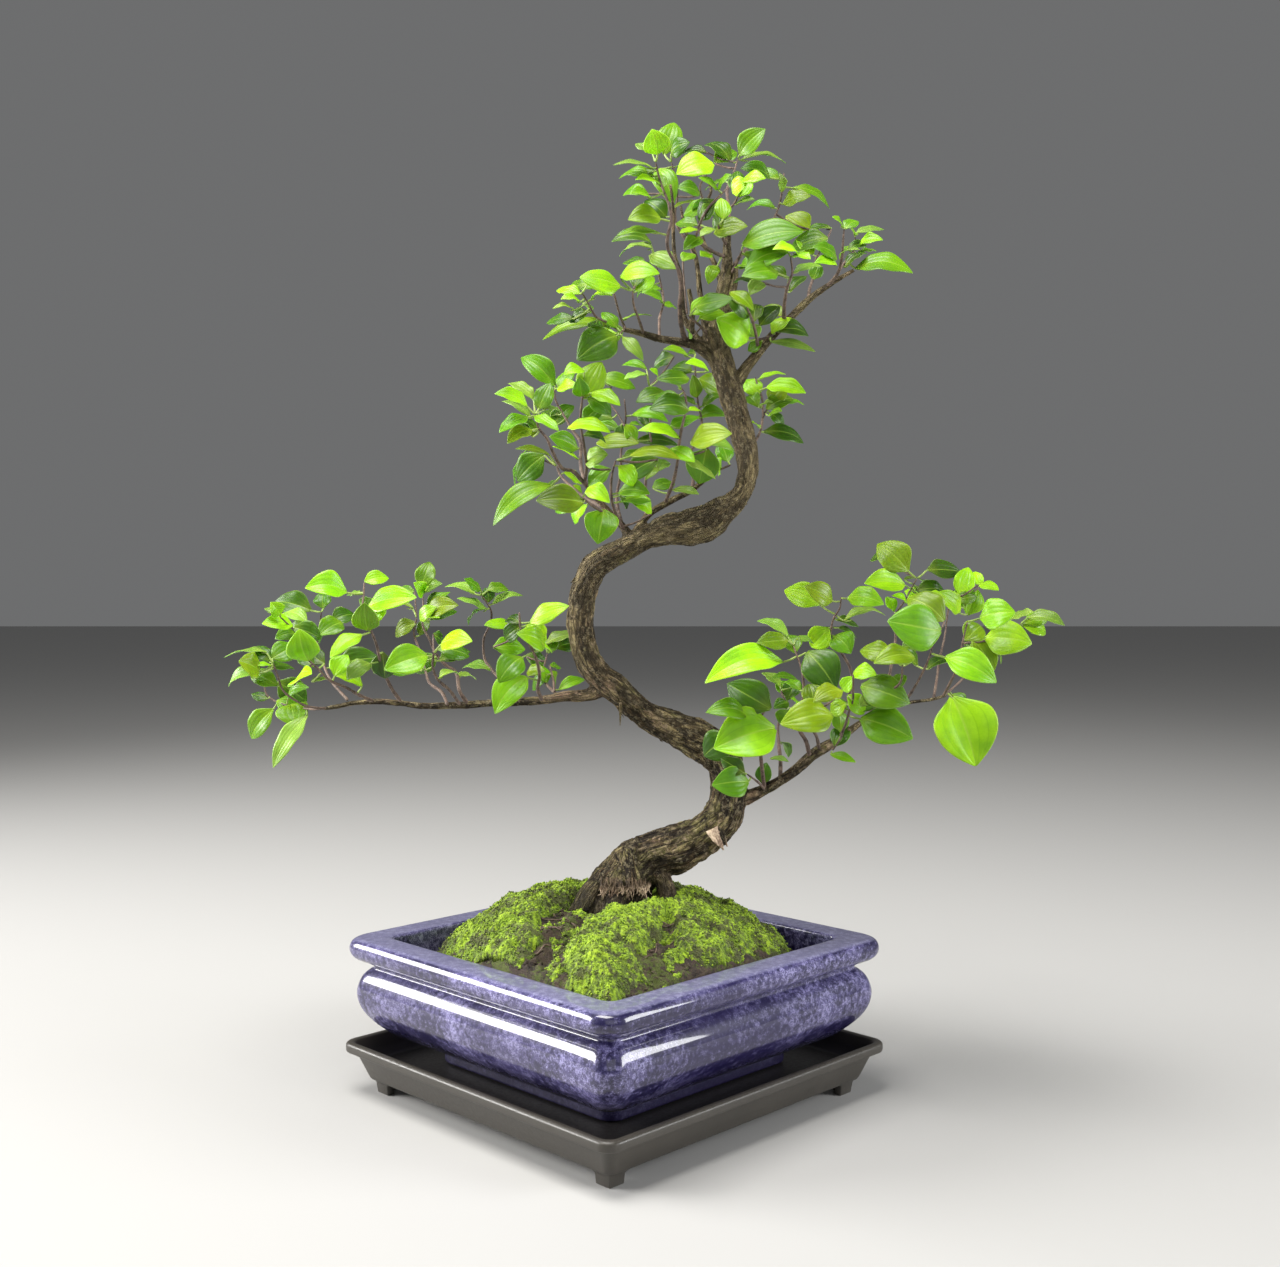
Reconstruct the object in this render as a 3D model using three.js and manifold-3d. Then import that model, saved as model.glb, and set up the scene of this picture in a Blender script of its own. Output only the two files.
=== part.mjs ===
// A potted bonsai: an S-shaped trunk with leafy shoots, moss over soil, a square
// glazed pot set corner forwards, and the drip tray it stands in. Millimetres, +Z up.
import * as THREE from 'three';
import { mergeVertices } from 'three/addons/utils/BufferGeometryUtils.js';
import Module from 'manifold-3d';

const wasm = await Module();
wasm.setup();

// Driving dimensions.
const potHalfWidth = 100;     // widest half-width of the pot, at its rolled rim
const potFootZ = 16.3;        // underside of the pot's foot, above the ground
const rimZ = 81;              // flat top of the pot's rim
const trayHalfWidth = 100.1;  // half-width of the tray over its lip
const trayRimZ = 26.8;
const trayFloorZ = 16;
const traySkirtZ = 7.6;       // lower edge of the tray's skirt
const drainRadius = 7;
const gap = 0.3;              // left between pieces that touch
const leafThickness = 0.9;
const petioleRadius = 0.55;
const twigSpread = 1.6;       // twigs reach this much further to the front or back than listed
const eye = new THREE.Vector3(13.2, -770, 271.6); // sight point of the front elevation
const turn = Math.PI / 4;     // the pot and tray stand with a corner to the front

// A point of the front elevation, pushed back along the line of sight by depth.
function place(x, z, depth) {
  return new THREE.Vector3(x, 0, z).sub(eye).multiplyScalar((-eye.y + depth) / -eye.y).add(eye);
}

// ---------------------------------------------------------------- solids

function toSolid(geometry) {
  const bare = new THREE.BufferGeometry();
  bare.setAttribute('position', (geometry.index ? geometry.toNonIndexed() : geometry).getAttribute('position'));
  const merged = mergeVertices(bare, 1e-4);
  const source = merged.index.array;
  const kept = [];
  for (let i = 0; i < source.length; i += 3) {
    const [a, b, c] = [source[i], source[i + 1], source[i + 2]];
    if (a !== b && b !== c && c !== a) kept.push(a, b, c);
  }
  const build = (list) => new wasm.Manifold(new wasm.Mesh({
    numProp: 3, vertProperties: merged.attributes.position.array, triVerts: new Uint32Array(list),
  }));
  const solid = build(kept);
  if (solid.volume() >= 0) return solid;
  for (let i = 0; i < kept.length; i += 3) [kept[i + 1], kept[i + 2]] = [kept[i + 2], kept[i + 1]];
  return build(kept);
}

function toGeometry(solid) {
  const mesh = solid.getMesh();
  const geometry = new THREE.BufferGeometry();
  geometry.setAttribute('position', new THREE.BufferAttribute(new Float32Array(mesh.vertProperties), 3));
  geometry.setIndex(new THREE.BufferAttribute(new Uint32Array(mesh.triVerts), 1));
  const flat = geometry.toNonIndexed();
  flat.computeVertexNormals();
  return flat;
}

const join = (solids) => solids.reduce((whole, one) => whole.add(one));

// The biggest body of a solid, without the crumbs a cut leaves.
function largest(solid) {
  return solid.decompose().sort((a, b) => b.volume() - a.volume())[0];
}

const boxesMeet = (a, b) => {
  const p = a.boundingBox(), q = b.boundingBox();
  return [0, 1, 2].every((i) => p.min[i] <= q.max[i] && q.min[i] <= p.max[i]);
};

// A tapering round limb through the given points: a lathed rod, one ring to a point, bent to follow them.
function limb(points, radii, sides) {
  const last = points.length - 1;
  const curve = new THREE.CatmullRomCurve3(points, false, 'centripetal');
  const profile = [new THREE.Vector2(0, 0), ...points.map((_, i) => new THREE.Vector2(1, i)), new THREE.Vector2(0, last)];
  return toSolid(reshape(new THREE.LatheGeometry(profile, sides), (p) => {
    const ring = Math.round(p.y);
    const along = curve.getTangent(ring / last);
    const side = new THREE.Vector3().crossVectors(along, new THREE.Vector3(0, 1, 0)).normalize();
    const front = new THREE.Vector3().crossVectors(side, along);
    const [x, z] = [p.x * radii[ring], p.z * radii[ring]];
    p.copy(points[ring]).addScaledVector(side, x).addScaledVector(front, z);
  }));
}

// A square body with rounded corners, lathed from [half-width, height, corner radius].
function squareLathe(profile, arc, height) {
  const perCorner = arc + 1;
  const points = profile.map(([half], i) => new THREE.Vector2(half, i));
  const geometry = new THREE.LatheGeometry(points, 4 * perCorner);
  const position = geometry.getAttribute('position');
  for (let i = 0; i < position.count; i++) {
    const [half, z, corner] = profile[Math.round(position.getY(i))];
    const k = ((Math.round(Math.atan2(position.getX(i), position.getZ(i)) / (2 * Math.PI) * 4 * perCorner)) + 4 * perCorner) % (4 * perCorner);
    const quarter = Math.floor(k / perCorner);
    const angle = half === 0 ? 0 : quarter * Math.PI / 2 + (k % perCorner) / arc * Math.PI / 2;
    const radius = Math.min(half, corner ?? 0);
    const centre = half - radius;
    const cx = centre * (quarter === 0 || quarter === 3 ? 1 : -1);
    const cy = centre * (quarter < 2 ? 1 : -1);
    const x = half === 0 ? 0 : cx + radius * Math.cos(angle);
    const y = half === 0 ? 0 : cy + radius * Math.sin(angle);
    position.setXYZ(i, x, y, height ? height(x, y, z) : z);
  }
  return toSolid(geometry);
}

// Moves every vertex of a geometry by a function of its position.
function reshape(geometry, move) {
  const position = geometry.getAttribute('position');
  const at = new THREE.Vector3();
  for (let i = 0; i < position.count; i++) {
    at.fromBufferAttribute(position, i);
    move(at);
    position.setXYZ(i, at.x, at.y, at.z);
  }
  return geometry;
}

// ---------------------------------------------------------------- tray, pot, soil, moss

// One moulding: a lipped square dish with a skirt and an angled foot under each corner.
function makeTray() {
  let tray = squareLathe([
    [0, 13.4], [85.6, 13.4, 4], [86.6, traySkirtZ, 4], [90.4, traySkirtZ, 4.5], [91.2, 9.4, 4.8], [95.4, 20.8, 5.6],
    [98.8, 21.4, 6.8], [trayHalfWidth, 22.4, 7.8], [trayHalfWidth, 25.8, 7.8], [99.2, trayRimZ, 7.2],
    [95.8, trayRimZ, 5], [95.2, 26, 5], [93.4, 20.8, 4.5], [91, 17.2, 4], [89.2, trayFloorZ, 4], [0, trayFloorZ],
  ], 3);
  // Each foot is an L in plan, flared where it meets the skirt: [height, scale, outer corner].
  const levels = [[0, 0.94, 86.4], [6.2, 1, 87], [8.2, 1.36, 87.6], [13.8, 1.36, 87.6]];
  const shape = new THREE.Shape([[0, 0], [-9.6, 0], [-9.6, -4.2], [-4.2, -4.2], [-4.2, -9.6], [0, -9.6]].map(([x, y]) => new THREE.Vector2(x, y)));
  for (let quarter = 0; quarter < 4; quarter++) {
    const foot = new THREE.ExtrudeGeometry(shape, { depth: 3, steps: 3, bevelEnabled: false });
    reshape(foot, (p) => {
      const [z, scale, corner] = levels[Math.round(p.z)];
      p.set(corner + p.x * scale, corner + p.y * scale, z);
    });
    foot.rotateZ(quarter * Math.PI / 2);
    tray = tray.add(toSolid(foot));
  }
  return tray;
}

const potOutside = [
  [56, 20], [57.6, potFootZ, 7], [62.4, potFootZ, 8], [63.8, 17.6, 8], [63.8, 21.6, 8], [62.6, 24, 8],
  [70, 25.4, 8], [78, 28.6, 8.5], [84.2, 32.4, 9], [91.2, 38.8, 9.5], [95.4, 45.8, 10], [96.6, 52.5, 10],
  [95.2, 59.6, 10], [92, 64.2, 9], [90.1, 65.8, 8], [90.6, 67.2, 8], [95, 69.4, 10], [98.8, 72, 12],
  [potHalfWidth, 75.4, 13], [99.2, 78.8, 13], [96.6, rimZ, 12],
];
const potInside = [
  [82.6, rimZ, 6], [81.5, 79.8, 5.5], [81.5, 64, 5.5], [82.4, 52, 6], [79, 42, 6], [70, 33.6, 6], [52, 29, 6],
];

function makePot() {
  const pot = squareLathe([[0, 20], ...potOutside, ...potInside, [0, 28]], 3);
  const drain = new THREE.CylinderGeometry(drainRadius, drainRadius, 30, 12).rotateX(Math.PI / 2);
  drain.translate(0, 0, 24);
  return pot.subtract(toSolid(drain));
}

// Height of the ground in the pot, mounded up under the trunk; x, y in the pot's own turn.
function groundHeight(x, y) {
  const u = (x - y) * Math.SQRT1_2, v = (x + y) * Math.SQRT1_2;
  const reach = Math.min(1, Math.hypot(u, v * (v < 0 ? 0.8 : 0.95)) / 98);
  return 62 + 36 * (1 - Math.pow(reach, 2.6));
}

function makeSoil() {
  const shrink = (list) => list.map(([half, z, corner]) => [half - 0.5, z + 0.5, corner]);
  const side = shrink(potInside).slice(2).reverse();
  const top = [80.6, 70, 56, 40, 22].map((half) => [half, 200, Math.min(half, 5.5 + (80.6 - half) * 0.55)]);
  return squareLathe([[0, 28.5], ...side, ...top, [0, 200]], 2, (x, y, z) => (z === 200 ? groundHeight(x, y) : z));
}

// A cushion of moss: a flattened ball draped over the ground, [u, v, half-length, half-depth, rise].
function makeMoss([u0, v0, a, b, rise, seed]) {
  const ball = new THREE.SphereGeometry(1, 12, 6).rotateX(Math.PI / 2);
  reshape(ball, (p) => {
    const angle = Math.atan2(p.y, p.x);
    const lobe = 1 + 0.13 * Math.sin(3 * angle + seed) + 0.07 * Math.sin(5 * angle + 2 * seed);
    const u = u0 + p.x * a * lobe, v = v0 + p.y * b * lobe;
    const x = (u + v) * Math.SQRT1_2, y = (v - u) * Math.SQRT1_2;
    p.set(x, y, groundHeight(x, y) + p.z * (p.z > 0 ? rise : 6));
  });
  return toSolid(ball);
}

const mossPatches = {
  moss_left: [-49, 6, 39, 36, 7.5, 0.4],
  moss_front: [-4, -58, 24, 38, 7, 1.7],
  moss_right: [47.3, 9.2, 40.6, 33.4, 7.2, 3.3],
  moss_small: [46, -50, 11, 11, 5, 5.0],
};

// ---------------------------------------------------------------- trunk and leafy shoots

// Centre line of the trunk: x, z on the front elevation, depth, radius.
const trunkLine = [
  [3, 90, 2, 21], [3, 100, 2, 19], [8, 113, 1, 15], [20, 123, -1, 12.3], [34, 127.5, -3, 12], [47, 134.5, -3, 10.6],
  [56, 144, -1, 9.4], [58.6, 157, 0, 9], [57, 169, 2, 9.6], [49.5, 178.5, 4, 10], [40.5, 184, 5, 10], [30.5, 188.5, 6, 8.8],
  [18, 194.5, 7, 7.2], [8.5, 201.5, 7, 6.8], [-1, 210, 7, 7.2], [-9.5, 217.5, 8, 7.2], [-15, 227.5, 8, 7.2], [-17.2, 240, 8, 6.9],
  [-16.8, 250, 8, 6.8], [-15, 260, 7, 6.9], [-10.5, 270, 5, 7.2], [-3, 276, 4, 7], [5, 280, 3, 6.2], [12.5, 284, 1, 5.7],
  [20.5, 287.5, -1, 6.8], [29, 290, -3, 8.4], [38.5, 291, -4, 9.2], [47, 293.5, -4, 8.8], [54, 298.5, -4, 7.4], [60.5, 303, -4, 6],
  [65, 308.5, -4, 5], [67.4, 316, -3, 5], [68, 325, -3, 5.8], [66, 335, -2, 6], [62.5, 347, -1, 6.3], [59.5, 358, 0, 6.4],
  [56, 369, 0, 6], [53.2, 381, 0, 5.4], [53, 395, 0, 4.6], [55, 408, 0, 3.8], [57, 420, 0, 3.2], [57.2, 432, 0, 2.3], [57.8, 444, 1, 1.4]
];

// Limbs and roots that grew with it, in the same terms.
const limbs = {
  "left": [[-3, 209, 7, 4], [-13, 205.8, 8, 3.7], [-25, 204.8, 8, 2.9], [-37, 203, 8, 2.3], [-50, 202.2, 8, 2.3], [-65, 201.3, 7, 2.1],
    [-80, 200.3, 6, 2], [-98, 200, 5, 1.7], [-110, 201.5, 4, 1.6], [-121, 202.3, 3, 1.5], [-133, 201.5, 3, 1.2], [-141, 199.8, 2, 1.1], [-148, 198.7, 2, 0.9]],
  "right": [[57, 152, 0, 5], [66, 152.5, 0, 4], [75, 156, 0, 3], [83, 160.5, -1, 2.8], [92, 166.5, -1, 2.7], [101, 174.3, -2, 3], [110, 180.3, -3, 2.7],
    [118, 185.5, -3, 2], [126, 191.5, -3, 1.5], [133, 197, -3, 1.2], [142, 200.3, -2, 1.1], [152, 202, -1, 0.9], [162, 203.3, -1, 0.8], [169, 205.3, 0, 0.7]],
  "middle_left": [[9, 284, 2, 3], [5, 290.5, 4, 2.2], [-1, 297, 5, 1.9], [-8, 305, 6, 1.7], [-14, 311.5, 6, 1.5]],
  "middle_right": [[9, 284, 0, 2.6], [13, 292, 2, 1.9], [20, 299.5, 2, 1.7], [30, 305, 2, 1.6], [39, 309.5, 2, 1.4], [47, 316, 1, 1.2]],
  "crown_left": [[53, 372, 0, 4], [47, 380.5, 0, 3.4], [40, 383.3, 0, 2.8], [31, 384.8, 0, 2.1], [22, 386.3, 0, 1.9], [14, 388.7, 0, 1.6], [6, 390.4, 0, 1.2], [1, 391.2, 0, 0.9]],
  "crown_back": [[53, 374, 2, 3.6], [48, 386, 2, 2.8], [45.3, 400, 2, 2.3], [43.5, 404, 2, 1.6]],
  "crown_left_stem": [[50, 376, 0, 3], [42, 382, 0, 2.4], [36, 386, 0, 1.8]],
  "crown_front": [[54, 376, -1, 3.2], [50.5, 386, -4, 2.4], [47.5, 392, -5, 1.6]],
  "crown_right": [[60, 361, 0, 4.4], [66, 370, 0, 3.2], [72, 378, 0, 2.6], [79, 386.5, 0, 2.4], [86, 393.5, 0, 2.2], [93, 400.5, 0, 2], [100, 407, 0, 1.7], [108, 412.6, 0, 1.4], [115, 417, -1, 1.1], [121, 420.3, -2, 0.8]],
  "crown_pink": [[57, 400, -1, 2.6], [59.5, 408, -2, 2.2], [61, 416, -2, 1.7], [61.5, 423, -2, 1.1]],
  "short_stub": [[39, 386, -3, 1.6], [39.5, 400, -5, 1.3], [37.8, 411, -6, 1]],
  "root_right": [[20, 118, -6, 6], [25.5, 109, -8, 4.6], [28, 98, -9, 5], [31, 88, -10, 4]],
  "root_left": [[-3, 112, -2, 8], [-13, 101, -6, 6], [-21, 92, -10, 4]],
  "root_front": [[4, 110, -6, 7], [1, 99, -16, 5], [-3, 90, -25, 3.6]],
  "root_back": [[6, 110, 8, 8], [12, 97, 18, 6], [18, 87, 28, 4]],
  "broken_stub": [[50, 139, -7, 4.4], [54.5, 132.5, -12, 3], [56.5, 128.5, -14, 1]]
};

// Leafy shoots: name, twigs [first radius, last radius, then x, z, depth of each point],
// leaves [base x, z, tip x, z, depth of tip past base, width, roll, tint].
const shoots = [
  ["left_tip_upper", [[0.9, 0.5, -147,198.8,2, -156,199.6,-2, -163,203,-8, -169,208,-14, -171.5,215,-18, -174,222,-20]], [
    [-178,227.5, -197,225, 6, 8, 8, 4], [-181,218, -190.5,222.5, -9, 11, 60, 3], [-182,216.5, -195.5,210.5, 5, 9, 35, 4],
    [-174,224.5, -162.5,230, 8, 10, 70, 1], [-176,219.5, -164,219, 10, 7, 35, 1], [-175,221, -183,220.5, -6, 5, 25, 2]]],
  ["left_tip_lower", [[0.9, 0.5, -147,198.8,2, -154,198.4,6, -163,199.5,12, -171,201.5,16, -177.5,206,18, -178.5,213,18]], [
    [-171,212, -158,203, 6, 12, 78, 0], [-165,201, -162.5,190.5, -9, 14, 55, 2], [-174.5,197.8, -184.5,184.5, 5, 11, 62, 1],
    [-157.5,194, -173,170.5, -5, 9, 50, 4], [-166,205, -156.5,209, -8, 7, 50, 1]]],
  ["left_outer_low", [[1.2, 0.6, -123,202.5,1, -130,205.5,-6, -137,209.5,-14, -145,213,-22, -151,219,-28, -156,223.5,-30]], [
    [-156,223, -160,238, -6, 13, 70, 2], [-163.5,211, -155,216, -8, 12, 35, 2], [-129,210.5, -142,215.5, -6, 7, 45, 2],
    [-154,212.5, -144.5,213, 6, 5, 15, 4], [-148,222, -155,226.5, 9, 8, 60, 0]]],
  ["left_outer_high", [[1.1, 0.5, -136,203,1, -143,211,10, -147,218,20, -149,226,28, -151.5,234,32, -150,241,32, -149,248,30],
      [0.7, 0.5, -151.5,234,32, -158,236.5,26, -164,240,20, -170,245.5,14]], [
    [-155,249, -171,253, 6, 12, 62, 0], [-170,246.5, -174.5,252.5, -5, 7, 60, 2], [-163.5,241, -178,242, -6, 9, 50, 2],
    [-157,242.5, -169,246, 8, 8, 30, 4], [-162,237, -172,234.5, -4, 8, 50, 1], [-171,247, -177.5,249.5, 4, 4, 35, 4],
    [-148,250, -147.5,257.5, 6, 8, 80, 0], [-139,242.5, -149.5,236.5, -10, 11, 60, 1], [-143.5,243.5, -133,246.5, 6, 9, 60, 0],
    [-140,221, -121,224, 4, 12, 72, 0]]],
  ["left_mid_tall", [[1.3, 0.5, -109,202.5,1, -113,208,-6, -116,214,-12, -119,222,-18, -121,231,-22, -124,239,-24, -128,248,-22, -127.5,256,-20, -127,263.5,-19]], [
    [-127,263.5, -115.5,265, 5, 7, 60, 2], [-129,258, -135.5,256.5, 4, 4, 30, 4], [-125.5,238.5, -127,251.5, -8, 11, 70, 3],
    [-129,236, -143.5,225.5, -8, 9, 35, 2], [-125,221.5, -135.5,214, -6, 9, 45, 4], [-124,251, -102.5,255, -8, 12, 55, 2],
    [-137,258, -155.5,260, -7, 12, 58, 2], [-118,227, -117,215, 7, 10, 70, 0]]],
  ["left_inner_first", [[1.2, 0.6, -85,200.5,3, -88,207,12, -94,211.5,18, -96,217,24, -99,228,30, -102,237,32, -100.5,245,30]], [
    [-100.5,242.5, -110.5,236, 6, 8, 60, 3], [-102,258.5, -110.5,256.5, 5, 7, 60, 1], [-103,249.8, -119,249.3, 7, 7, 20, 4],
    [-101.5,217.5, -121,217, -8, 8, 40, 1], [-90.5,225, -100,217.5, 5, 9, 65, 0]]],
  ["left_inner_second", [[1.2, 0.6, -79,201,3, -84,208,-8, -90,213.5,-16, -92.5,220,-22, -92,227,-26]], [
    [-96,225.5, -115.5,219, -6, 13.5, 62, 2], [-87.5,232, -73.5,233, -8, 11, 50, 2], [-89,229, -75,225.5, 4, 9, 50, 0],
    [-89,214.5, -80,216, 7, 6, 12, 4], [-92,236.5, -88,232, 8, 6, 60, 0]]],
  ["left_inner_third", [[1.4, 0.5, -75,201.5,3, -79,208,0, -80.5,217,4, -86,221,4, -91,227,2, -94,234,0, -97.5,241,0, -97,248,2, -97.5,257,4]], [
    [-98,261, -94,272.5, 6, 8.5, 80, 1], [-97,257, -101.5,262.5, -7, 7, 60, 2], [-97,257.5, -91,264, 6, 6, 60, 2],
    [-95.5,258.5, -88,262, -6, 6, 45, 4], [-94.5,247, -80.5,251, -7, 10, 60, 3], [-95,250, -84.5,255, 7, 8, 65, 0],
    [-99,244, -91,250, -5, 7, 60, 2], [-97,244, -89.5,245, -9, 5, 25, 2], [-80,215, -71,213.5, 7, 6, 18, 4]]],
  ["left_near_tall", [[1.2, 0.5, -53,201.8,5, -57,212,12, -62,218,17, -66,224,20, -66.5,234,20, -63.5,241,18, -62.3,247,16, -64,251.5,14, -67.5,256.5,12]], [
    [-71.5,257.5, -85,260.5, 6, 8, 20, 4], [-68,259.5, -75.5,264.5, -6, 7, 45, 1], [-64,259, -54.5,259.3, 6, 7, 45, 1],
    [-64.5,249.5, -78.5,254.5, -6, 8, 25, 4], [-61,252.5, -47.5,256, 6, 7, 22, 4], [-52,241.3, -65,241.3, -8, 8, 42, 2],
    [-62,218.3, -76,219.5, 7, 7, 28, 4]]],
  ["left_near_broad", [[1.4, 0.6, -37,203,5, -39,209,-4, -38,216,-10, -40,225,-15, -44,233,-18, -47.5,239,-19, -48.3,248,-19]], [
    [-42,243, -24.5,250.5, -6, 9.5, 55, 2], [-36,230.5, -48.5,236.5, -9, 11, 55, 2], [-36,232.5, -43.5,241, 5, 9, 55, 2],
    [-61,230, -46.5,229, 8, 9, 60, 1], [-47,241, -55,234.5, 7, 8, 70, 0], [-47.5,242, -54.5,243.5, 8, 6, 50, 0],
    [-47.5,224.5, -58,213, -7, 11.5, 65, 1], [-45,214, -59.5,197.5, -7, 13.5, 55, 2]]],
  ["left_near_low", [[1.3, 0.6, -27,203.5,6, -30.5,207,14, -35,212,20, -36,218,24, -34,227,26], [1.0, 0.6, -30.5,207,14, -31,213,20, -33,221,24]], [
    [-34,232, -18.5,236, 5, 8, 28, 4], [-29.5,229.5, -17.5,231.5, 9, 8, 60, 0], [-44.5,225, -36,220, 5, 8, 60, 0],
    [-44,217.5, -36,218, -6, 7, 55, 3], [-27.5,208.5, -16,213, 8, 6, 45, 1], [-33,220.5, -27.5,219.5, 5, 4, 45, 1]]],
  ["right_first", [[1.5, 0.7, 77,157,0, 76,165,-8, 75,174,-14, 75,184,-18, 74,192,-20, 77,198,-20], [1.0, 0.6, 77,157,0, 74,160.5,-10, 68,165,-16]], [
    [79,199, 59.5,210.5, 6, 15, 72, 0], [67,195, 48.5,196.5, -7, 10, 52, 1], [81,188, 53.5,179, -8, 22, 62, 2],
    [59,183.5, 47,175, 6, 13.5, 74, 0], [68,161, 51.5,159.5, -6, 13, 72, 1]]],
  ["right_second", [[1.5, 0.6, 85,162,-1, 85,172,8, 84,182,14, 84,191,18, 88,199,20, 85,208,22]], [
    [94,211.5, 81.5,214, -6, 6, 30, 1], [88,205, 84,212.5, 7, 6, 60, 1], [89,202, 82,199, -6, 6, 55, 0], [95,200, 90.5,203.5, -6, 4.5, 40, 2],
    [80,173, 88.5,171.5, -6, 4, 30, 4], [85,210, 76,216.5, 6, 7, 20, 4]]],
  ["right_third", [[1.5, 0.5, 100,174,-2, 98,182,-10, 94,189,-16, 95,197,-20, 96.5,205,-22, 96.5,213,-22, 95,221,-20, 91.3,231,-18]], [
    [84,222, 49.5,212.5, -8, 13.5, 56, 2], [88,233.5, 74,232.5, -6, 9, 55, 3], [88,236, 74,242.8, 6, 7, 28, 4],
    [93,234, 101,232, 6, 4.5, 40, 4], [99,227, 112,210, -5, 16, 76, 0]]],
  ["right_fourth", [[1.3, 0.6, 105,177.5,-2, 103.5,184,-14, 101,190,-24, 104,198,-30]], [
    [110.5,195, 87,191, -6, 15, 60, 3], [91,197.5, 86,190.5, 7, 9, 72, 1], [102,201, 99.5,210.5, 5, 9, 72, 3],
    [116,207.5, 103,202.5, -7, 9, 50, 3]]],
  ["right_mid_tall", [[1.4, 0.5, 112,181.5,-3, 116,192,8, 119,202,14, 121,211,18, 120.5,219,20, 116,227,18, 110.5,234,15, 111.5,244,12, 115,250,10, 115.5,256,10]], [
    [104,252, 88,258.5, 6, 12.5, 62, 2], [110.5,253.8, 98,260.5, -5, 11, 62, 3], [119.5,254.8, 136,252, -6, 11, 56, 2],
    [118,243.5, 136.5,246, 7, 7, 20, 4], [109.5,240, 101,231, 5, 11, 75, 2], [112,236, 120,227.5, -6, 11.5, 74, 1],
    [116.5,208.5, 122,214.5, -6, 7, 60, 2]]],
  ["right_inner_low", [[1.1, 0.6, 115,183.5,-3, 118,190,-10, 120,197,-16, 122,203,-20], [0.8, 0.6, 117.6,189,-9, 115.5,183,-9.5, 111.5,177,-9]], [
    [118,201, 111,197, 6, 8, 65, 2], [119.5,205, 127,196.5, 5, 8, 68, 2], [122.5,217, 133,216, -6, 8, 58, 2],
    [110.5,175.3, 122.5,171.5, -5, 5, 40, 1], [127,193, 150.5,184, -8, 17, 66, 1]]],
  ["right_outer_low", [[1.2, 0.6, 127,192.5,-3, 133,199,-12, 139,206,-18, 146,212,-22, 147,220,-24]], [
    [127,210, 149,202, -6, 15.5, 62, 1], [141,226.5, 126.5,228, 6, 10, 58, 3], [152.5,224.5, 134,222, -6, 11, 48, 3],
    [131,203, 126,200, -8, 6, 50, 4], [147,229.5, 154,230, 7, 7, 55, 1]]],
  ["right_outer_tall", [[1.2, 0.5, 135,198.5,-3, 139,208,10, 141.5,222,20, 143.5,236,26, 142,244,27, 148,254,26, 154,265,22]], [
    [149,269.5, 135,281.5, 6, 15, 74, 3], [138,276.5, 131,274.5, 9, 7, 55, 0], [147,262, 129,262.5, -8, 12, 56, 2],
    [160,269.5, 175,268.5, 6, 11, 52, 0], [148,264.5, 158,262.5, 8, 5, 15, 4], [154,259, 167,258.5, 7, 9, 60, 0],
    [157,256, 148.5,258.5, 5, 7, 60, 2], [149,252.5, 142,256, -6, 5, 45, 2]]],
  ["right_outer_big", [[1.1, 0.5, 147,200.2,-2, 152,207.5,-14, 156,214.5,-22, 160,223,-28, 162.5,231.5,-32]], [
    [165.5,238.5, 141.5,243, -5, 19, 72, 1], [167.5,244, 150.5,254, 8, 14, 68, 3], [170,224.5, 193,213, -6, 14, 60, 2],
    [160,252.5, 167,256, 7, 6, 55, 2]]],
  ["right_tip_first", [[1.0, 0.5, 163,203.5,-1, 164.5,213,10, 166,224,18, 168.5,236,22, 170,248,22, 172,254,20]], [
    [176,249, 166,257.5, -7, 10, 60, 2], [178,250.5, 173.5,258.5, 7, 9, 68, 1], [176.5,256, 180,269.5, 6, 9.5, 76, 2],
    [186,262, 195,259.3, -6, 7, 38, 2], [180,247, 184.5,258.5, 5, 10, 72, 2], [186,261, 183.5,268, 6, 5, 60, 2]]],
  ["right_tip_second", [[1.0, 0.5, 168,205,0, 172,213,-8, 176,222,-16, 177.5,232,-22, 180,243,-24], [0.8, 0.5, 177.5,232,-22, 190,233.5,-26, 200,237.5,-24, 207,242,-22]], [
    [187,245, 203,247.5, -6, 14, 60, 2], [189,234.5, 211,232, -7, 16.5, 60, 2], [178.5,233.5, 186,240.5, 7, 10, 70, 3],
    [183,234, 193,219.5, -5, 12, 70, 3], [213,248, 202.5,244.5, 6, 6, 35, 4], [211.5,245, 228,241.5, -5, 8, 38, 4],
    [208,241, 219,238, 6, 8, 60, 2]]],
  ["right_tip_hanging", [[0.9, 0.6, 168,205,0, 171,207.5,4, 178,214,8, 183,220,10, 187,228,10]], [
    [173,203, 184,172, -7, 27, 76, 2], [186,228, 177,226, 6, 8, 50, 1], [188,229, 196,232, 6, 8, 60, 1]]],
  ["mid_left_low", [[1.5, 0.7, -4,300.5,5, -13,305,12, -21,311,20, -27,317,26, -29,322,28]], [
    [-33,311.5, -59,293.5, -6, 11.5, 48, 1], [-25,318.5, -17,313.3, 6, 6, 55, 2], [-36,327, -48,315.5, 5, 13, 74, 0],
    [-33.5,328, -48.5,330.5, -6, 7, 30, 3], [-43.5,330, -49.5,313, 8, 6, 20, 4], [-21,312, -16.5,308, 5, 5, 55, 2]]],
  ["mid_left_front", [[1.2, 0.7, 1,295.5,3, -5,298.5,-8, -11,302,-16, -16,306,-22]], [
    [-16.5,303.5, -37.5,304.5, -6, 13.5, 60, 3], [-5,300, -8,284, -6, 14, 76, 1], [-12.5,311, -3,304, -6, 8, 60, 2]]],
  ["mid_left_long", [[1.6, 0.6, -12,310,6, -17,315.5,0, -21,319.5,-6, -26.5,321,-12, -31,329,-18, -34,336,-22, -38,341,-24, -40,348,-24]], [
    [-41,356, -52.5,363, 6, 7, 28, 4], [-44.5,352.5, -59,358, -6, 9, 45, 2], [-38,351, -32.5,363, 5, 8, 74, 1],
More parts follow.
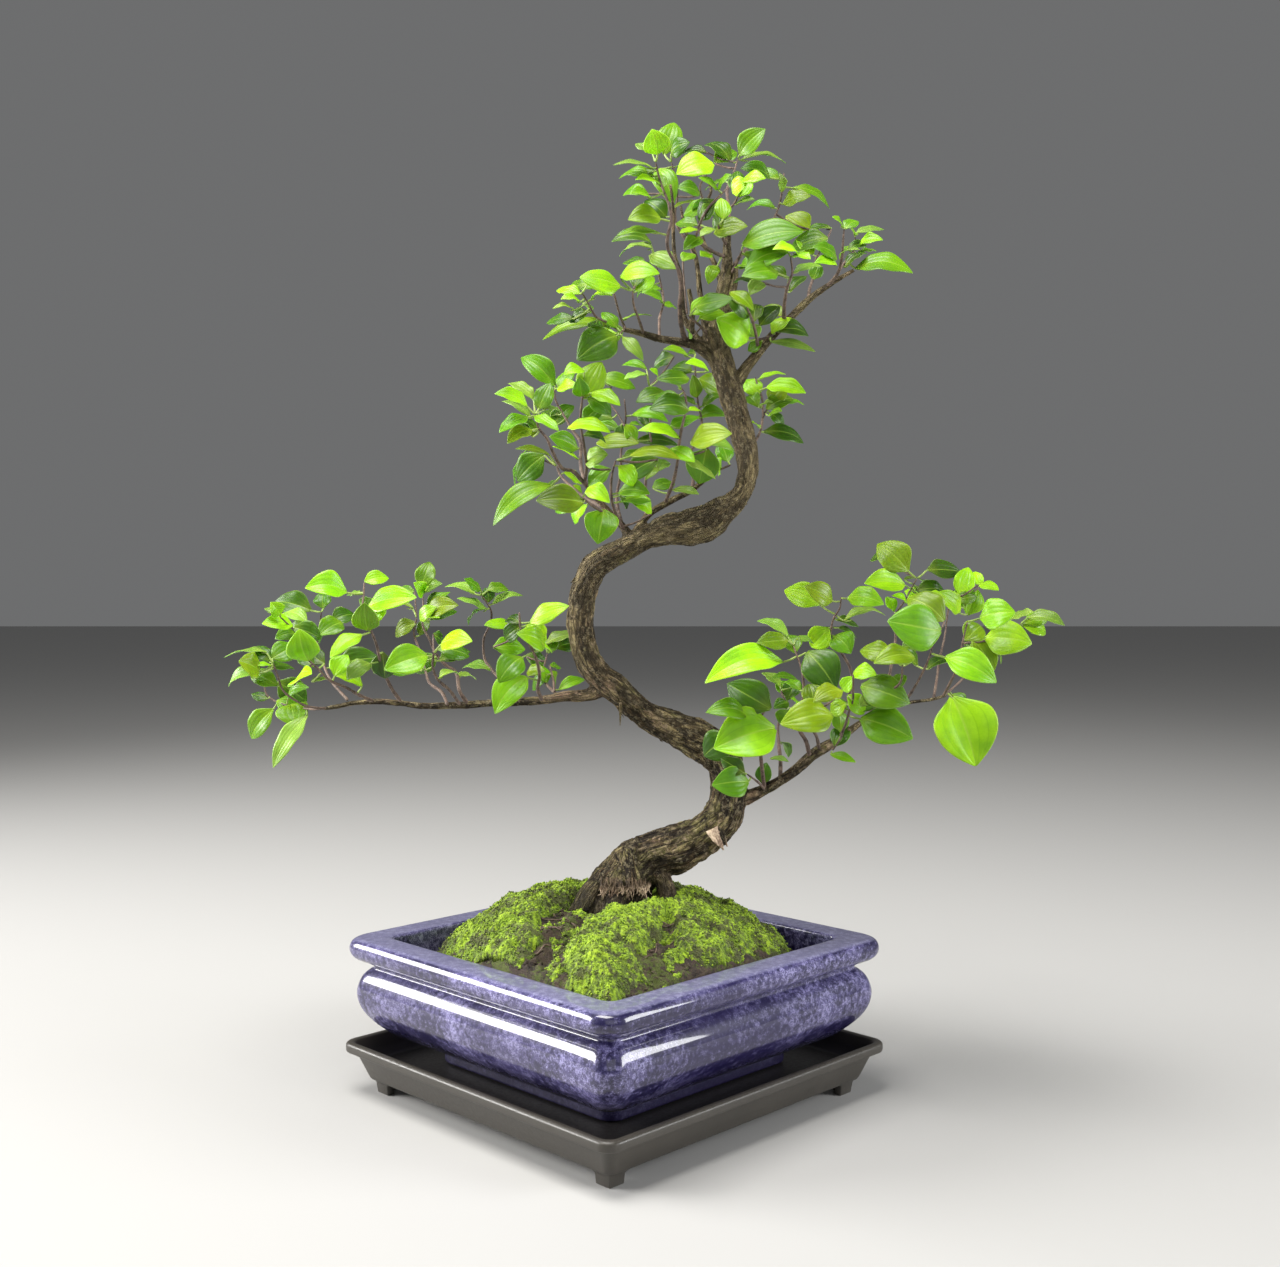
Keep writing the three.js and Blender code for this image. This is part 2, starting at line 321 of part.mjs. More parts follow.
    [-42.5,346.5, -55.5,354, 7, 6, 22, 4], [-44,346.5, -57,339.5, -6, 8, 38, 1], [-40,347.5, -29,340.5, -9, 6, 38, 2],
    [-42,340, -53,334, -5, 8, 48, 3], [-41,337, -41.5,343.5, 7, 6, 60, 3], [-35.5,350.5, -27,349, 6, 5, 30, 4]]],
  ["mid_left_tall", [[1.5, 0.5, -14,312,5, -16.8,322,10, -17,334,14, -21,340,16, -25,347,18, -29.5,355,18, -30,361,17]], [
    [-30.5,363, -45.5,375.5, 5, 10.5, 68, 1], [-28.5,361, -19,362, -6, 8, 52, 2], [-19,331, -31.5,336.5, -7, 10, 62, 1],
    [-31,342, -21,351.5, 6, 8, 64, 0], [-18,325.5, -30,331.5, -5, 5, 28, 2]]],
  ["mid_left_light", [[1.2, 0.6, -15,313.5,5, -14,322,-6, -15.5,334,-12, -17,345,-15, -16,356,-16, -15,366,-16]], [
    [-15.5,370, -24.5,368, -5, 7.5, 48, 2], [-15,356.5, -7,373, 5, 12, 74, 2], [-16.5,357, -17.5,366, -7, 7, 70, 1],
    [-11,358.5, 2,353, -7, 8, 48, 2], [-22.5,341, -3.5,339, -7, 9, 42, 2], [-15,338, -5,334, 6, 8, 40, 0],
    [-14.5,323.5, -4,327.5, -6, 10, 60, 4], [-2,320, -12,312, 5, 9, 62, 1]]],
  ["mid_centre_tall", [[1.4, 0.5, 5,289,2, 2,300,8, 1.5,308,14, 3.5,318,18, 3.5,328,20, 5,338,20, 6,347,19, 5.3,356,18], [0.8, 0.5, 5.5,342,20, 2,348,24, -4,357,28, -1,362,30]], [
    [-6.5,366, 9.5,361.5, 5, 9.5, 52, 1], [-1.5,346, -17,346, 6, 9, 52, 0], [10,347.5, 26,344.5, -5, 8, 48, 1],
    [-8,333.5, 11,333.5, -7, 10, 52, 3], [5,327, 17,329, 7, 6, 40, 1]]],
  ["mid_centre_low", [[1.2, 0.6, 5,290,1, 0,300,-8, -1.5,309,-14, -1,318,-18, 1,325,-20]], [
    [22,325, 6.5,315, 6, 10, 66, 0], [9,327, 31.5,325.5, -6, 9, 38, 3], [3,308.5, 17,308, -5, 9, 56, 1],
    [3,307, 6.5,301.5, 7, 7, 60, 0], [18.5,298.5, 6.5,305.5, -6, 8, 56, 2]]],
  ["mid_right_first", [[1.2, 0.5, 15,294,3, 17,303,10, 16,312,16, 17,322,20, 19,332,22, 18,342,24, 20,352,24, 18,362,24]], [
    [16,371, 5,372.5, 6, 6, 40, 1], [16,368.5, 6,366, -5, 6, 32, 4], [30,377, 21,372, 6, 8, 58, 0],
    [22.5,366, 18.5,370.5, -6, 6, 50, 2], [26.5,358, 12.5,354.5, -6, 10, 52, 0], [12,334.5, 31,332.5, 6, 8, 46, 0],
    [22,319.5, 28,323, 6, 6, 55, 4], [22,321, 16.5,315.5, -5, 5, 40, 4]]],
  ["mid_right_second", [[1.3, 0.5, 26,303.5,2, 30,314,-8, 32,323,-14, 33,333,-18, 34.5,342,-20, 36.5,351,-20, 36,358,-19, 33,363,-18]], [
    [37.5,366, 23,365.5, -6, 9, 52, 1], [34,360.5, 26,364.5, -8, 5, 28, 2], [38,350, 19.5,350.5, -5, 11, 60, 0],
    [33.5,336, 14,339.5, -6, 8, 42, 2], [29,342, 42,346.5, 6, 7, 42, 1], [29,330.5, 40,324.5, -7, 8, 50, 2],
    [20,311, 30,313, 7, 7, 52, 1], [30,310, 42,308, -6, 6, 38, 4]]],
  ["mid_right_third", [[1.3, 0.5, 40,310,2, 40,318,10, 38.5,328,16, 43,336,20, 44.5,344,22, 42.5,354,23, 41.5,366,23, 40.5,376,22]], [
    [37,377.5, 26,380.5, -5, 6, 42, 2], [41,378.5, 36.5,377, 6, 5, 50, 0], [39,369.5, 30,371, 6, 9, 60, 0],
    [47.5,370, 37,373.5, -6, 7, 42, 2], [43,366, 52.5,360, 6, 10, 64, 3], [42,356.5, 40,367, -7, 6, 60, 3],
    [43.5,350, 38,350, -6, 5, 40, 2], [42.5,346, 56.5,346.5, 6, 8, 48, 1]]],
  ["mid_right_end", [[1.2, 0.6, 47,316,1, 49,324,-10, 47,332,-16, 45,336,-20], [1.0, 0.6, 47,316,1, 52.5,319.5,-6, 59.5,322.8,-8]], [
    [39.5,333.5, 58,338, -6, 12.5, 56, 3], [46,333.5, 60,329.5, 6, 8, 42, 4], [47,331, 43.5,314.5, 6, 14, 76, 1],
    [33,326.5, 50,316.5, -7, 6, 22, 4]]],
  ["trunk_right_sprig", [[1.1, 0.5, 69,331,-6, 74,339,4, 75.5,347,8, 78.5,352,10, 80,355,10], [0.8, 0.5, 75.5,347,8, 75,356,14, 72.5,363,16, 71.5,367,16]], [
    [76.5,339, 94.5,334, 6, 9.5, 52, 0], [78,361.5, 95.5,359, -6, 10, 48, 2], [79,353.5, 86,361, 6, 9, 70, 3],
    [74,358, 67.5,365, 6, 8.5, 72, 2], [73,352, 68,357, 7, 7, 70, 1], [74,366, 86,368, 5, 4, 30, 2],
    [78.5,347.5, 84.5,349.5, -6, 6, 45, 2], [73.5,351.5, 80,354, -7, 4, 35, 4], [73.5,341.5, 70,343.8, -5, 4, 35, 2]]],
  ["crown_left_tip", [[1.0, 0.5, 2,391,0, -4,394.5,-8, -9,397,-14, -12.5,403,-18, -16,409,-20]], [
    [-21,396, -33,394, 6, 7, 52, 0], [-20.5,400.5, -30,401, -5, 5, 30, 4], [-17.5,404.5, -26,405.8, -5, 6, 42, 2],
    [-17,408.5, -28,410, 6, 7, 48, 2], [-14,413, -22.5,411, 8, 9, 60, 1], [-11,406, -1.5,407.5, -6, 6, 40, 2],
    [-15.5,403.5, -12,399, 7, 5, 35, 4], [-1,391.8, -33,386, -5, 9, 38, 3]]],
  ["crown_left_lower", [[0.9, 0.6, 6,390.5,0, 3,398,-6, 0,409,-10], [0.8, 0.5, 4.8,393.5,-2.4, 5.5,391,-6, 3,388.5,-10]], [
    [1.5,387.5, -17,376.5, -5, 16, 74, 0], [5,386.5, 14,376, -6, 6, 50, 4], [-5,414, -17,411.5, 8, 9, 55, 1], [4,395.5, 18,397.5, 5, 4, 15, 4]]],
  ["crown_left_mid", [[1.1, 0.5, 15,388.5,0, 12.5,396,-10, 10,403,-18, 9.5,410,-22]], [
    [2.5,412.5, -15.5,416.5, -6, 13, 56, 2], [4,417, 21.5,418.5, -5, 10.5, 56, 2], [15,425, 5.5,424, 7, 7, 45, 0]]],
  ["crown_left_inner", [[1.0, 0.5, 23,386.3,1, 23,396,12, 25,404,18, 24,412,22, 22,420,24, 20,428,24]], [
    [24,411, 15,409, -6, 6, 45, 1], [25,404, 16,408.5, -8, 7, 52, 1], [24.5,403, 31,401.5, 6, 5.5, 45, 2],
    [18,428, 32,421.5, -6, 11, 56, 4], [18,434, 0.5,434.5, -6, 10, 46, 0], [19,431, 4,427.3, 6, 7, 28, 4]]],
  ["crown_left_tall", [[1.8, 0.6, 36,385,0, 34,393,-6, 33.3,402,-10, 34,412,-13, 32,422,-15, 27.5,430,-17, 27,437,-18, 29,446,-18, 27,455,-18, 23.5,464,-18, 21,474,-18]], [
    [22,439, 3.5,437.5, -5, 7, 34, 2], [23,446, 8.5,445.5, -5, 11.5, 56, 3], [18,456.5, 9,458.5, -6, 7, 48, 2],
    [23.5,463, 12,465.2, -6, 6, 38, 2], [19.5,467, 4,466, 6, 8, 42, 1], [20,471, 1.5,472.5, -5, 7, 28, 4],
    [22,478.5, 19.5,489.5, -5, 11, 74, 2], [19,479, 11.5,483, 5, 6, 42, 4]]],
  ["crown_left_back", [[1.5, 0.5, 44,400,2, 43.5,412,10, 42,423,16, 38,433,20, 32.5,441,22, 30.8,448,22, 32,457,22, 31,466,22, 29,474,22]], [
    [26,447, 16.5,454.5, 6, 10, 70, 0], [16.5,458.5, 5.5,457.5, 5, 8, 50, 1], [22.5,470, 29.5,454.5, -7, 11, 68, 1],
    [25.5,478.5, 30,492.5, 6, 11, 74, 1], [29,478.5, 37.5,483.5, -6, 10, 68, 0], [43,458, 32.5,461, -5, 9, 58, 1],
    [29,450, 41,454, -9, 5, 38, 3]]],
  ["crown_twisted", [[1.4, 0.5, 56,427,0, 50,429.5,-8, 44.5,433,-14, 41.5,437,-17, 44,445,-19, 48,452,-20, 54,458,-20, 57,461,-19], [0.8, 0.5, 47,451,-20, 44,458,-23, 43.5,463,-24, 47,468,-25]], [
    [49.5,473, 33,468.5, -5, 13.5, 60, 2], [47,453, 36,448, 6, 9, 58, 1], [42,443, 32,443.5, 5, 8, 50, 1],
    [42,441, 34,439, -7, 5, 35, 2], [44,436.5, 36,431, -5, 7, 58, 1], [52,461, 43.5,466, -6, 7, 48, 1],
    [52.5,461, 58.5,467.5, -6, 7, 48, 1], [50,441, 44,437.5, -6, 5, 35, 4], [49,428, 44,427.5, -5, 6, 50, 2], [52,422, 48,414, -5, 6, 55, 2]]],
  ["crown_leader_top", [[1.4, 0.5, 57.5,440,1, 58,450,4, 57,460,7, 60,468,9, 62.5,476,10], [0.9, 0.5, 58.5,451,4, 62,456,0, 62.5,463,-3]], [
    [46,479, 35,478.5, 5, 7, 45, 0], [51,474, 61,478.7, 5, 9, 58, 1], [63,477.5, 75,489.5, -5, 10.5, 68, 1],
    [65,475, 85,473.5, 5, 7, 28, 4], [65,465.5, 75.5,466, -6, 8, 56, 2], [60,459, 67,464, -6, 8.5, 70, 2],
    [61,453, 70,455.5, -6, 6, 42, 4]]],
  ["crown_front_olive", [[1.1, 0.6, 56.5,433,0, 54,438,-10, 52.5,443,-14]], [
    [51,439, 66,442, -6, 11, 56, 3], [55,446, 54,455.5, 6, 7, 80, 2]]],
  ["crown_right_tall", [[1.3, 0.5, 60,422,1, 66,430,8, 73,436,14, 79,443,18, 83,452,20, 85,462,20, 85.5,469,20]], [
    [78,466.5, 65,470.5, -6, 10, 56, 0], [91,461, 107,452, 5, 7, 46, 1], [85.5,453.5, 98,457, -6, 9, 60, 3],
    [84.5,459, 83.5,468, -6, 4.5, 50, 4], [98,441, 87.5,447, 5, 12, 66, 3]]],
  ["crown_right_signature", [[1.1, 0.6, 59,418,1, 62,424,-8, 64.5,430,-14]], [
    [66,433, 93,439, -6, 15, 58, 1], [66,428, 70.5,424.5, 6, 6, 60, 1], [60.5,422, 67.5,422.3, -5, 4, 30, 2]]],
  ["crown_fork_tall", [[1.5, 0.5, 86,394,0, 86,403,-8, 87.5,412,-14, 90,419,-17, 89,427,-18]], [
    [87,429, 67.5,419.5, 6, 12, 56, 1], [82,419, 66,417.5, -7, 11, 58, 1], [75,414, 69,408.5, -5, 7, 55, 4],
    [72,415, 61,414, 6, 5, 40, 0], [91,427.5, 98.5,426, -6, 6, 45, 2], [92,428.5, 81,430.5, -7, 7, 48, 2],
    [90.5,419, 104,422, 6, 6, 32, 4]]],
  ["crown_fork_right", [[1.2, 0.5, 98,405.5,1, 99,412,10, 101.5,419,16, 101,424,18, 104,430,20]], [
    [112,423, 102,424, -6, 7, 52, 2], [112,426, 101,431.5, -6, 9, 56, 1], [107,436, 90,430.5, 5, 12, 56, 1],
    [109,441, 95.5,438, 8, 8, 36, 0]]],
  ["crown_right_end", [[1.3, 0.5, 108,412.5,0, 113,419,-8, 115,427,-13, 115.5,435,-15, 116,441,-15], [0.9, 0.5, 112.5,418.5,-7, 117,425,-2, 121.5,431,2, 121.5,437,3]], [
    [116.5,441, 122.5,444.5, 5, 6.5, 45, 1], [115.5,441.5, 110.5,446.5, -5, 6, 45, 2], [121.5,438, 118.5,442, -6, 6, 50, 2],
    [122.5,439, 135,440.5, 5, 6, 36, 4], [124,433.5, 134.5,435.3, -5, 6.5, 55, 2], [114.5,429, 123,430.5, -6, 4.5, 30, 4],
    [123,421, 148.5,419, -5, 12.5, 48, 1]]],
  ["crown_low_right", [[1.3, 0.6, 73,379.5,0, 72,387,-8, 70,395,-14, 67,402,-17], [0.9, 0.6, 72.2,385.5,-6.5, 77,386.5,-7, 81,388,-7]], [
    [82,390, 97,387.5, 6, 9, 55, 0], [80,384.5, 100,380, -6, 8, 34, 4], [84,397.5, 76.5,402, 7, 7, 55, 3],
    [59,409, 69.5,401, -5, 7, 45, 3], [58,407, 67,397, 5, 10, 68, 0], [73,387, 67,393, 5, 8, 60, 4], [67,385.5, 53,395.5, -6, 16, 74, 2]]],
  ["crown_front_green", [[1.2, 0.6, 47.5,388,-2, 43,393,-10, 37,398,-14]], [
    [42,402, 58.5,405.5, -6, 10, 60, 1], [38,386.5, 37,390.5, -6, 4, 60, 1], [35,425, 40.5,428, 7, 6, 50, 2]]],
];

function trunkSolid(extra) {
  const line = (list, sides) => limb(list.map(([x, z, d]) => place(x, z, d)), list.map((p) => p[3] + extra), sides);
  return join([line(trunkLine, 8), ...Object.values(limbs).map((list) => line(list, 4))]);
}

// Nearest point of a shoot's twigs to a point of the elevation.
function nearestOn(twigs, x, z) {
  let best = null;
  for (const twig of twigs) {
    for (let i = 2; i + 5 < twig.length; i += 3) {
      const [x0, z0, d0, x1, z1, d1] = twig.slice(i, i + 6);
      const along = ((x - x0) * (x1 - x0) + (z - z0) * (z1 - z0)) / ((x1 - x0) ** 2 + (z1 - z0) ** 2);
      const t = Math.min(1, Math.max(0, along));
      const p = [x0 + (x1 - x0) * t, z0 + (z1 - z0) * t, d0 + (d1 - d0) * t];
      const away = Math.hypot(p[0] - x, p[1] - z);
      if (!best || away < best.away) best = { at: p, away };
    }
  }
  return best;
}

// One leaf with its stalk. Listed as [base x, z, tip x, z, depth of tip past base, width, roll]:
// roll 0 lies the blade flat, 90 turns its face to the front.
function makeLeaf(twigs, [bx, bz, tx, tz, dd, width, roll], lift, fat) {
  const root = nearestOn(twigs, bx, bz);
  const flat = Math.hypot(tx - bx, tz - bz);
  const baseDepth = root.at[2] + dd * Math.min(1.5, root.away / flat) + lift * 0.4;
  const from = place(...root.at), base = place(bx, bz, baseDepth), tip = place(tx, tz, baseDepth + dd + lift);
  const axis = tip.clone().sub(base);
  const length = axis.length();
  axis.normalize();
  const angle = THREE.MathUtils.degToRad(roll);
  const normal = new THREE.Vector3(0, -Math.sin(angle), Math.cos(angle));
  normal.addScaledVector(axis, -normal.dot(axis)).normalize();
  const side = new THREE.Vector3().crossVectors(axis, normal);
  const half = width / 2 + fat;
  const thick = leafThickness / 2 + fat;
  const reach = petioleRadius + fat;
  // Rows along the leaf: [how far along the blade, half-width, half-thickness]; the first two are the stalk.
  const short = root.away < 1.6;
  const rows = short && width < 12 ? [[0, 0, 0], [0, reach, reach], [0.42, half, thick], [1, 0, 0]] : width >= 15
    ? [[0, 0, 0], [0, reach, reach], [0, reach, reach], [0.3, 0.94 * half, thick], [0.66, 0.78 * half, thick], [1, 0, 0]]
    : [[0, 0, 0], [0, reach, reach], [0, reach, reach], [0.42, half, thick], [1, 0, 0]];
  const stalk = root.away > 0.3 ? base.clone().sub(from).normalize() : axis;
  // The stalk's rows turn with it, and the row at the blade's base halves the bend.
  const frames = [stalk, stalk, short ? axis : stalk.clone().add(axis).normalize(), axis, axis, axis].map((along) => {
    const swing = new THREE.Quaternion().setFromUnitVectors(axis, along);
    return [side.clone().applyQuaternion(swing), normal.clone().applyQuaternion(swing)];
  });
  const blade = new THREE.LatheGeometry(rows.map(([, w], i) => new THREE.Vector2(w > 0 ? 1 : 0, i)), 4);
  reshape(blade, (p) => {
    const row = Math.round(p.y);
    const [s, w, h] = rows[row];
    const across = p.x * w;
    const up = p.z * h + (s > 0 ? Math.abs(across) * 0.28 + length * 0.32 * s * (1 - s) : 0);
    p.copy(row < 2 ? from : base).addScaledVector(axis, s * length)
      .addScaledVector(frames[row][0], across).addScaledVector(frames[row][1], up);
  });
  return toSolid(blade);
}

// A listed twig with its depths spread out from its first point.
function spreadTwig([first, last, ...line]) {
  return [first, last, ...line.map((value, i) => (i % 3 === 2 ? line[2] + (value - line[2]) * twigSpread : value))];
}

function makeTwigs(twigs, extra) {
  return twigs.map((twig) => {
    const points = [];
    for (let i = 2; i < twig.length; i += 3) points.push(place(twig[i], twig[i + 1], twig[i + 2]));
    const radii = points.map((_, i) => twig[0] + (twig[1] - twig[0]) * i / (points.length - 1) + extra);
    return limb(points, radii, 4);
  });
}

// ---------------------------------------------------------------- assembly

const bonsai = new THREE.Group();
const holder = new THREE.Group();   // pot, tray and ground, a corner to the front
holder.rotation.z = turn;
const plant = new THREE.Group();
bonsai.add(holder, plant);

function addMesh(group, name, solid, color, roughness) {
  const mesh = new THREE.Mesh(toGeometry(solid), new THREE.MeshStandardMaterial({ color, roughness, metalness: 0 }));
  mesh.name = name;
  group.add(mesh);
}

const turned = (solid) => toSolid(toGeometry(solid).rotateZ(-turn)); // from world to the holder's turn
const trunk = largest(trunkSolid(0));
const trunkFat = trunkSolid(gap);
const rooted = turned(trunkFat);

addMesh(holder, 'drip_tray', makeTray(), 0x4c4640, 0.45);
addMesh(holder, 'pot', makePot(), 0x3b3a78, 0.15);
const soil = makeSoil();
addMesh(holder, 'soil', largest(soil.subtract(rooted)), 0x4a3826, 0.95);
const ground = soil.translate([0, 0, gap]);
const mouth = squareLathe([[0, 40], [81.2, 40, 5.5], [81.2, 120, 5.5], [0, 120]], 3); // keeps the moss inside the rim
let laid = ground;
for (const [name, patch] of Object.entries(mossPatches)) {
  const cushion = makeMoss(patch);
  addMesh(holder, name, largest(cushion.intersect(mouth).subtract(laid).subtract(rooted)), 0x7fb81e, 0.95);
  laid = laid.add(makeMoss(patch.map((value, i) => (i > 1 && i < 5 ? value + gap : value))));
}
addMesh(plant, 'trunk', trunk, 0x7a6a4c, 0.85);

const leafColors = [0x3f7a14, 0x5f9e1c, 0x86c42a, 0x9aa82c, 0x8fb070];
const taken = [trunkFat];
const shifts = [0, 5, -5, 9, -9, 14, -14, 19, -19, 25, -25];
for (const [name, listed, leaves] of shoots) {
  const twigs = listed.map(spreadTwig);
  const near = taken.filter((solid) => solid);
  const clear = (solid) => !near.some((other, i) => boxesMeet(other, solid)
    && other.intersect(solid).volume() > (i === 0 ? 0.35 * solid.volume() : 0.02));
  const pieces = makeTwigs(twigs, 0), swollen = makeTwigs(twigs, gap);
  for (const leaf of leaves) {
    for (const lift of shifts) {   // moves the leaf back or forth until it clears its neighbours
      const tried = makeLeaf(twigs, leaf, lift, 0);
      if (!clear(tried)) continue;
      pieces.push(tried);
      swollen.push(makeLeaf(twigs, leaf, lift, gap));
      break;
    }
  }
  let shoot = join(pieces);
  for (const other of near) if (boxesMeet(other, shoot)) shoot = shoot.subtract(other);
  shoot = largest(shoot);
  addMesh(plant, name, shoot, leafColors[leaves[0][7]], 0.5);
  taken.push(join(swollen));
}

// The origin is on the ground, under the middle of the whole object.
bonsai.updateMatrixWorld(true);
const bounds = new THREE.Box3().setFromObject(bonsai);
bonsai.position.set(-(bounds.min.x + bounds.max.x) / 2, -(bounds.min.y + bounds.max.y) / 2, -bounds.min.z);

export default bonsai;
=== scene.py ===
import math
import random

import bmesh
import bpy
import numpy as np
from mathutils import Matrix, Quaternion, Vector, noise


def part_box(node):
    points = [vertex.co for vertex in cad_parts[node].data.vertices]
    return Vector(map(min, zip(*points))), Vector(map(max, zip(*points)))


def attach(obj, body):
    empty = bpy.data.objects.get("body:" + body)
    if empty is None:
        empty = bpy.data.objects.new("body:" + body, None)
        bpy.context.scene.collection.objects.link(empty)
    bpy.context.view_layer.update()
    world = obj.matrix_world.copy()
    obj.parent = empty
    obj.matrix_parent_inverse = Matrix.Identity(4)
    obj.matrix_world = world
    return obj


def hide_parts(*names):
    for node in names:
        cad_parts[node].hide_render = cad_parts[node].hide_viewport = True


# A potted bonsai: an S-shaped trunk with leafy shoots, moss over soil, a square glazed
# pot standing corner forwards, and its drip tray. Lengths in the lists are millimetres.

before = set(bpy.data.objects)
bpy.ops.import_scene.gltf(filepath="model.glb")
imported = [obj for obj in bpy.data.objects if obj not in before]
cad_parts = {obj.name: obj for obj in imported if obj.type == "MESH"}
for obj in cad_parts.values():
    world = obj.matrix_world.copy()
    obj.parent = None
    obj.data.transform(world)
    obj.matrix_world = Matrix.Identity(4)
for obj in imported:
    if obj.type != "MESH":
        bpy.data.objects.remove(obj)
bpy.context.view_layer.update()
mm = 0.001
rng = random.Random(11)
print("stage: frame loaded")


potLow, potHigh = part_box("pot")
potCentre = Vector(((potLow.x + potHigh.x) / 2, (potLow.y + potHigh.y) / 2, 0))
turned = Matrix.Rotation(math.pi / 4, 4, "Z")  # the pot and tray stand a corner forwards

viewing = {
    "eye": (13.2, -770.0, 271.6),   # sight point of the front elevation, from the pot's middle
    "pitch": 2.57,                  # degrees below level
    "lens": 42.55,
    "sensor": 36.0,
}


# A point of the front elevation, pushed back along the line of sight by depth.
def place(x, z, depth):
    eyeX, eyeY, eyeZ = viewing["eye"]
    k = (depth - eyeY) / -eyeY
    return potCentre + Vector((eyeX + (x - eyeX) * k, depth, eyeZ + (z - eyeZ) * k)) * mm


def clamped(value):
    return min(1, max(0, value))


# Turns a bmesh into a piece that rides on the root and has its materials.
def finishPiece(name, bm, materials, replaced=(), subdivide=0):
    mesh = bpy.data.meshes.new(name)
    bm.to_mesh(mesh)
    bm.free()
    piece = bpy.data.objects.new(name, mesh)
    bpy.context.scene.collection.objects.link(piece)
    for material in materials:
        mesh.materials.append(material)
    mesh.shade_smooth()
    if subdivide:
        modifier = piece.modifiers.new("smooth", "SUBSURF")
        modifier.levels = modifier.render_levels = subdivide
    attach(piece, "root")
    if replaced:
        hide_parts(*replaced)
    return piece


def ringEdges(bm, ring):
    return [bm.edges.get((a, b)) for a, b in zip(ring, ring[1:] + ring[:1])]


# Extrudes a closed ring of vertices and puts each new vertex where the function says.
def extrudeRing(bm, ring, where):
    made = bmesh.ops.extrude_edge_only(bm, edges=ringEdges(bm, ring))["geom"]
    fresh = {v for v in made if isinstance(v, bmesh.types.BMVert)}
    ring = [next(e.other_vert(v) for e in v.link_edges if e.other_vert(v) in fresh) for v in ring]
    for index, vert in enumerate(ring):
        vert.co = where(index)
    return ring


def startRing(bm, count, where, closed=True):
    ring = bmesh.ops.create_circle(bm, cap_ends=closed, segments=count, radius=1)["verts"]
    for index, vert in enumerate(ring):
        vert.co = where(index)
    return ring


def closeRing(bm, ring):
    bmesh.ops.edgeloop_fill(bm, edges=ringEdges(bm, ring))


# Point at share t from a to b, on the curve that also runs through the ones before and after.
def curvePoint(before, a, b, after, t):
    return 0.5 * (2 * a + (b - before) * t + (2 * before - 5 * a + 4 * b - after) * t * t
                  + (3 * a - before - 3 * b + after) * t ** 3)


# Points and radii along a smooth line through the given ones, about a step apart.
def smoothLine(points, radii, step):
    line, sizes = [], []
    for i in range(len(points) - 1):
        before = points[i - 1] if i else points[0] * 2 - points[1]
        after = points[i + 2] if i + 2 < len(points) else points[-1] * 2 - points[-2]
        a, b = points[i], points[i + 1]
        count = max(1, round((b - a).length / step))
        for j in range(count):
            t = j / count
            line.append(curvePoint(before, a, b, after, t))
            sizes.append(radii[i] + (radii[i + 1] - radii[i]) * t)
    return line + [points[-1]], sizes + [radii[-1]]


# Turns a frame along a line without twist: one (side, front) pair to a point.
def lineFrames(line):
    last = len(line) - 1
    alongs = [(line[min(i + 1, last)] - line[max(i - 1, 0)]).normalized() for i in range(last + 1)]
    side = alongs[0].orthogonal().normalized()
    frames = []
    for i, along in enumerate(alongs):
        if i:
            side = (alongs[i - 1].rotation_difference(along)) @ side
            side = (side - along * side.dot(along)).normalized()
        frames.append((side, along.cross(side)))
    return frames


# A closed round tube, swept ring by ring and knobbly if asked.
def addTube(bm, points, radii, sides, step, material=0, knob=0.0, squash=1.0):
    line, sizes = smoothLine(points, radii, step)
    frames = lineFrames(line)
    before = set(bm.faces)
    phase = rng.random() * 40

    def ringAt(i):
        side, front = frames[i]
        size = sizes[i] * (1 + knob * noise.noise(Vector((phase, i * 0.9, 0.3))))
        return lambda k: line[i] + (side * math.cos(k * math.tau / sides)
                                    + front * (squash * math.sin(k * math.tau / sides))) * size

    ring = startRing(bm, sides, ringAt(0))
    for i in range(1, len(line)):
        ring = extrudeRing(bm, ring, ringAt(i))
    closeRing(bm, ring)
    faces = [f for f in bm.faces if f not in before]
    for face in faces:
        face.material_index = material
    bmesh.ops.recalc_face_normals(bm, faces=faces)
    return faces


# A material whose keywords set the shader's own sockets: Coat_Weight sets Coat Weight.
def newMaterial(name, **constants):
    material = bpy.data.materials.new(name)
    material.use_nodes = True
    shader = material.node_tree.nodes["Principled BSDF"]
    for key, value in constants.items():
        shader.inputs[key.replace("_", " ")].default_value = value
    return material, material.node_tree, shader


# Adds a node. An input takes a socket or a value; the keywords are the node's own settings.
def addNode(tree, kind, inputs=None, **settings):
    made = tree.nodes.new(kind)
    for key, value in settings.items():
        setattr(made, key, value)
    for key, value in (inputs or {}).items():
        if isinstance(value, bpy.types.NodeSocket):
            tree.links.new(value, made.inputs[key])
        else:
            made.inputs[key].default_value = value
    return made


def mathNode(tree, operation, a, b=0.0):
    return addNode(tree, "ShaderNodeMath", {0: a, 1: b}, operation=operation).outputs[0]


# Multiplies a socket by another one or by a number.
def times(tree, a, b):
    return mathNode(tree, "MULTIPLY", a, b)


def mixColour(tree, factor, a, b, blend="MIX"):
    made = addNode(tree, "ShaderNodeMix", {0: factor, 6: a, 7: b}, data_type="RGBA", blend_type=blend)
    return made.outputs[2]


# Lays one colour over another where the mask is, at a share of full strength.
def laidOver(tree, under, mask, share, over):
    return mixColour(tree, times(tree, mask, share), under, over)


def rangeNode(tree, value, low, high, toLow=0.0, toHigh=1.0, smooth=False):
    return addNode(tree, "ShaderNodeMapRange", {0: value, 1: low, 2: high, 3: toLow, 4: toHigh},
                   interpolation_type="SMOOTHSTEP" if smooth else "LINEAR").outputs[0]


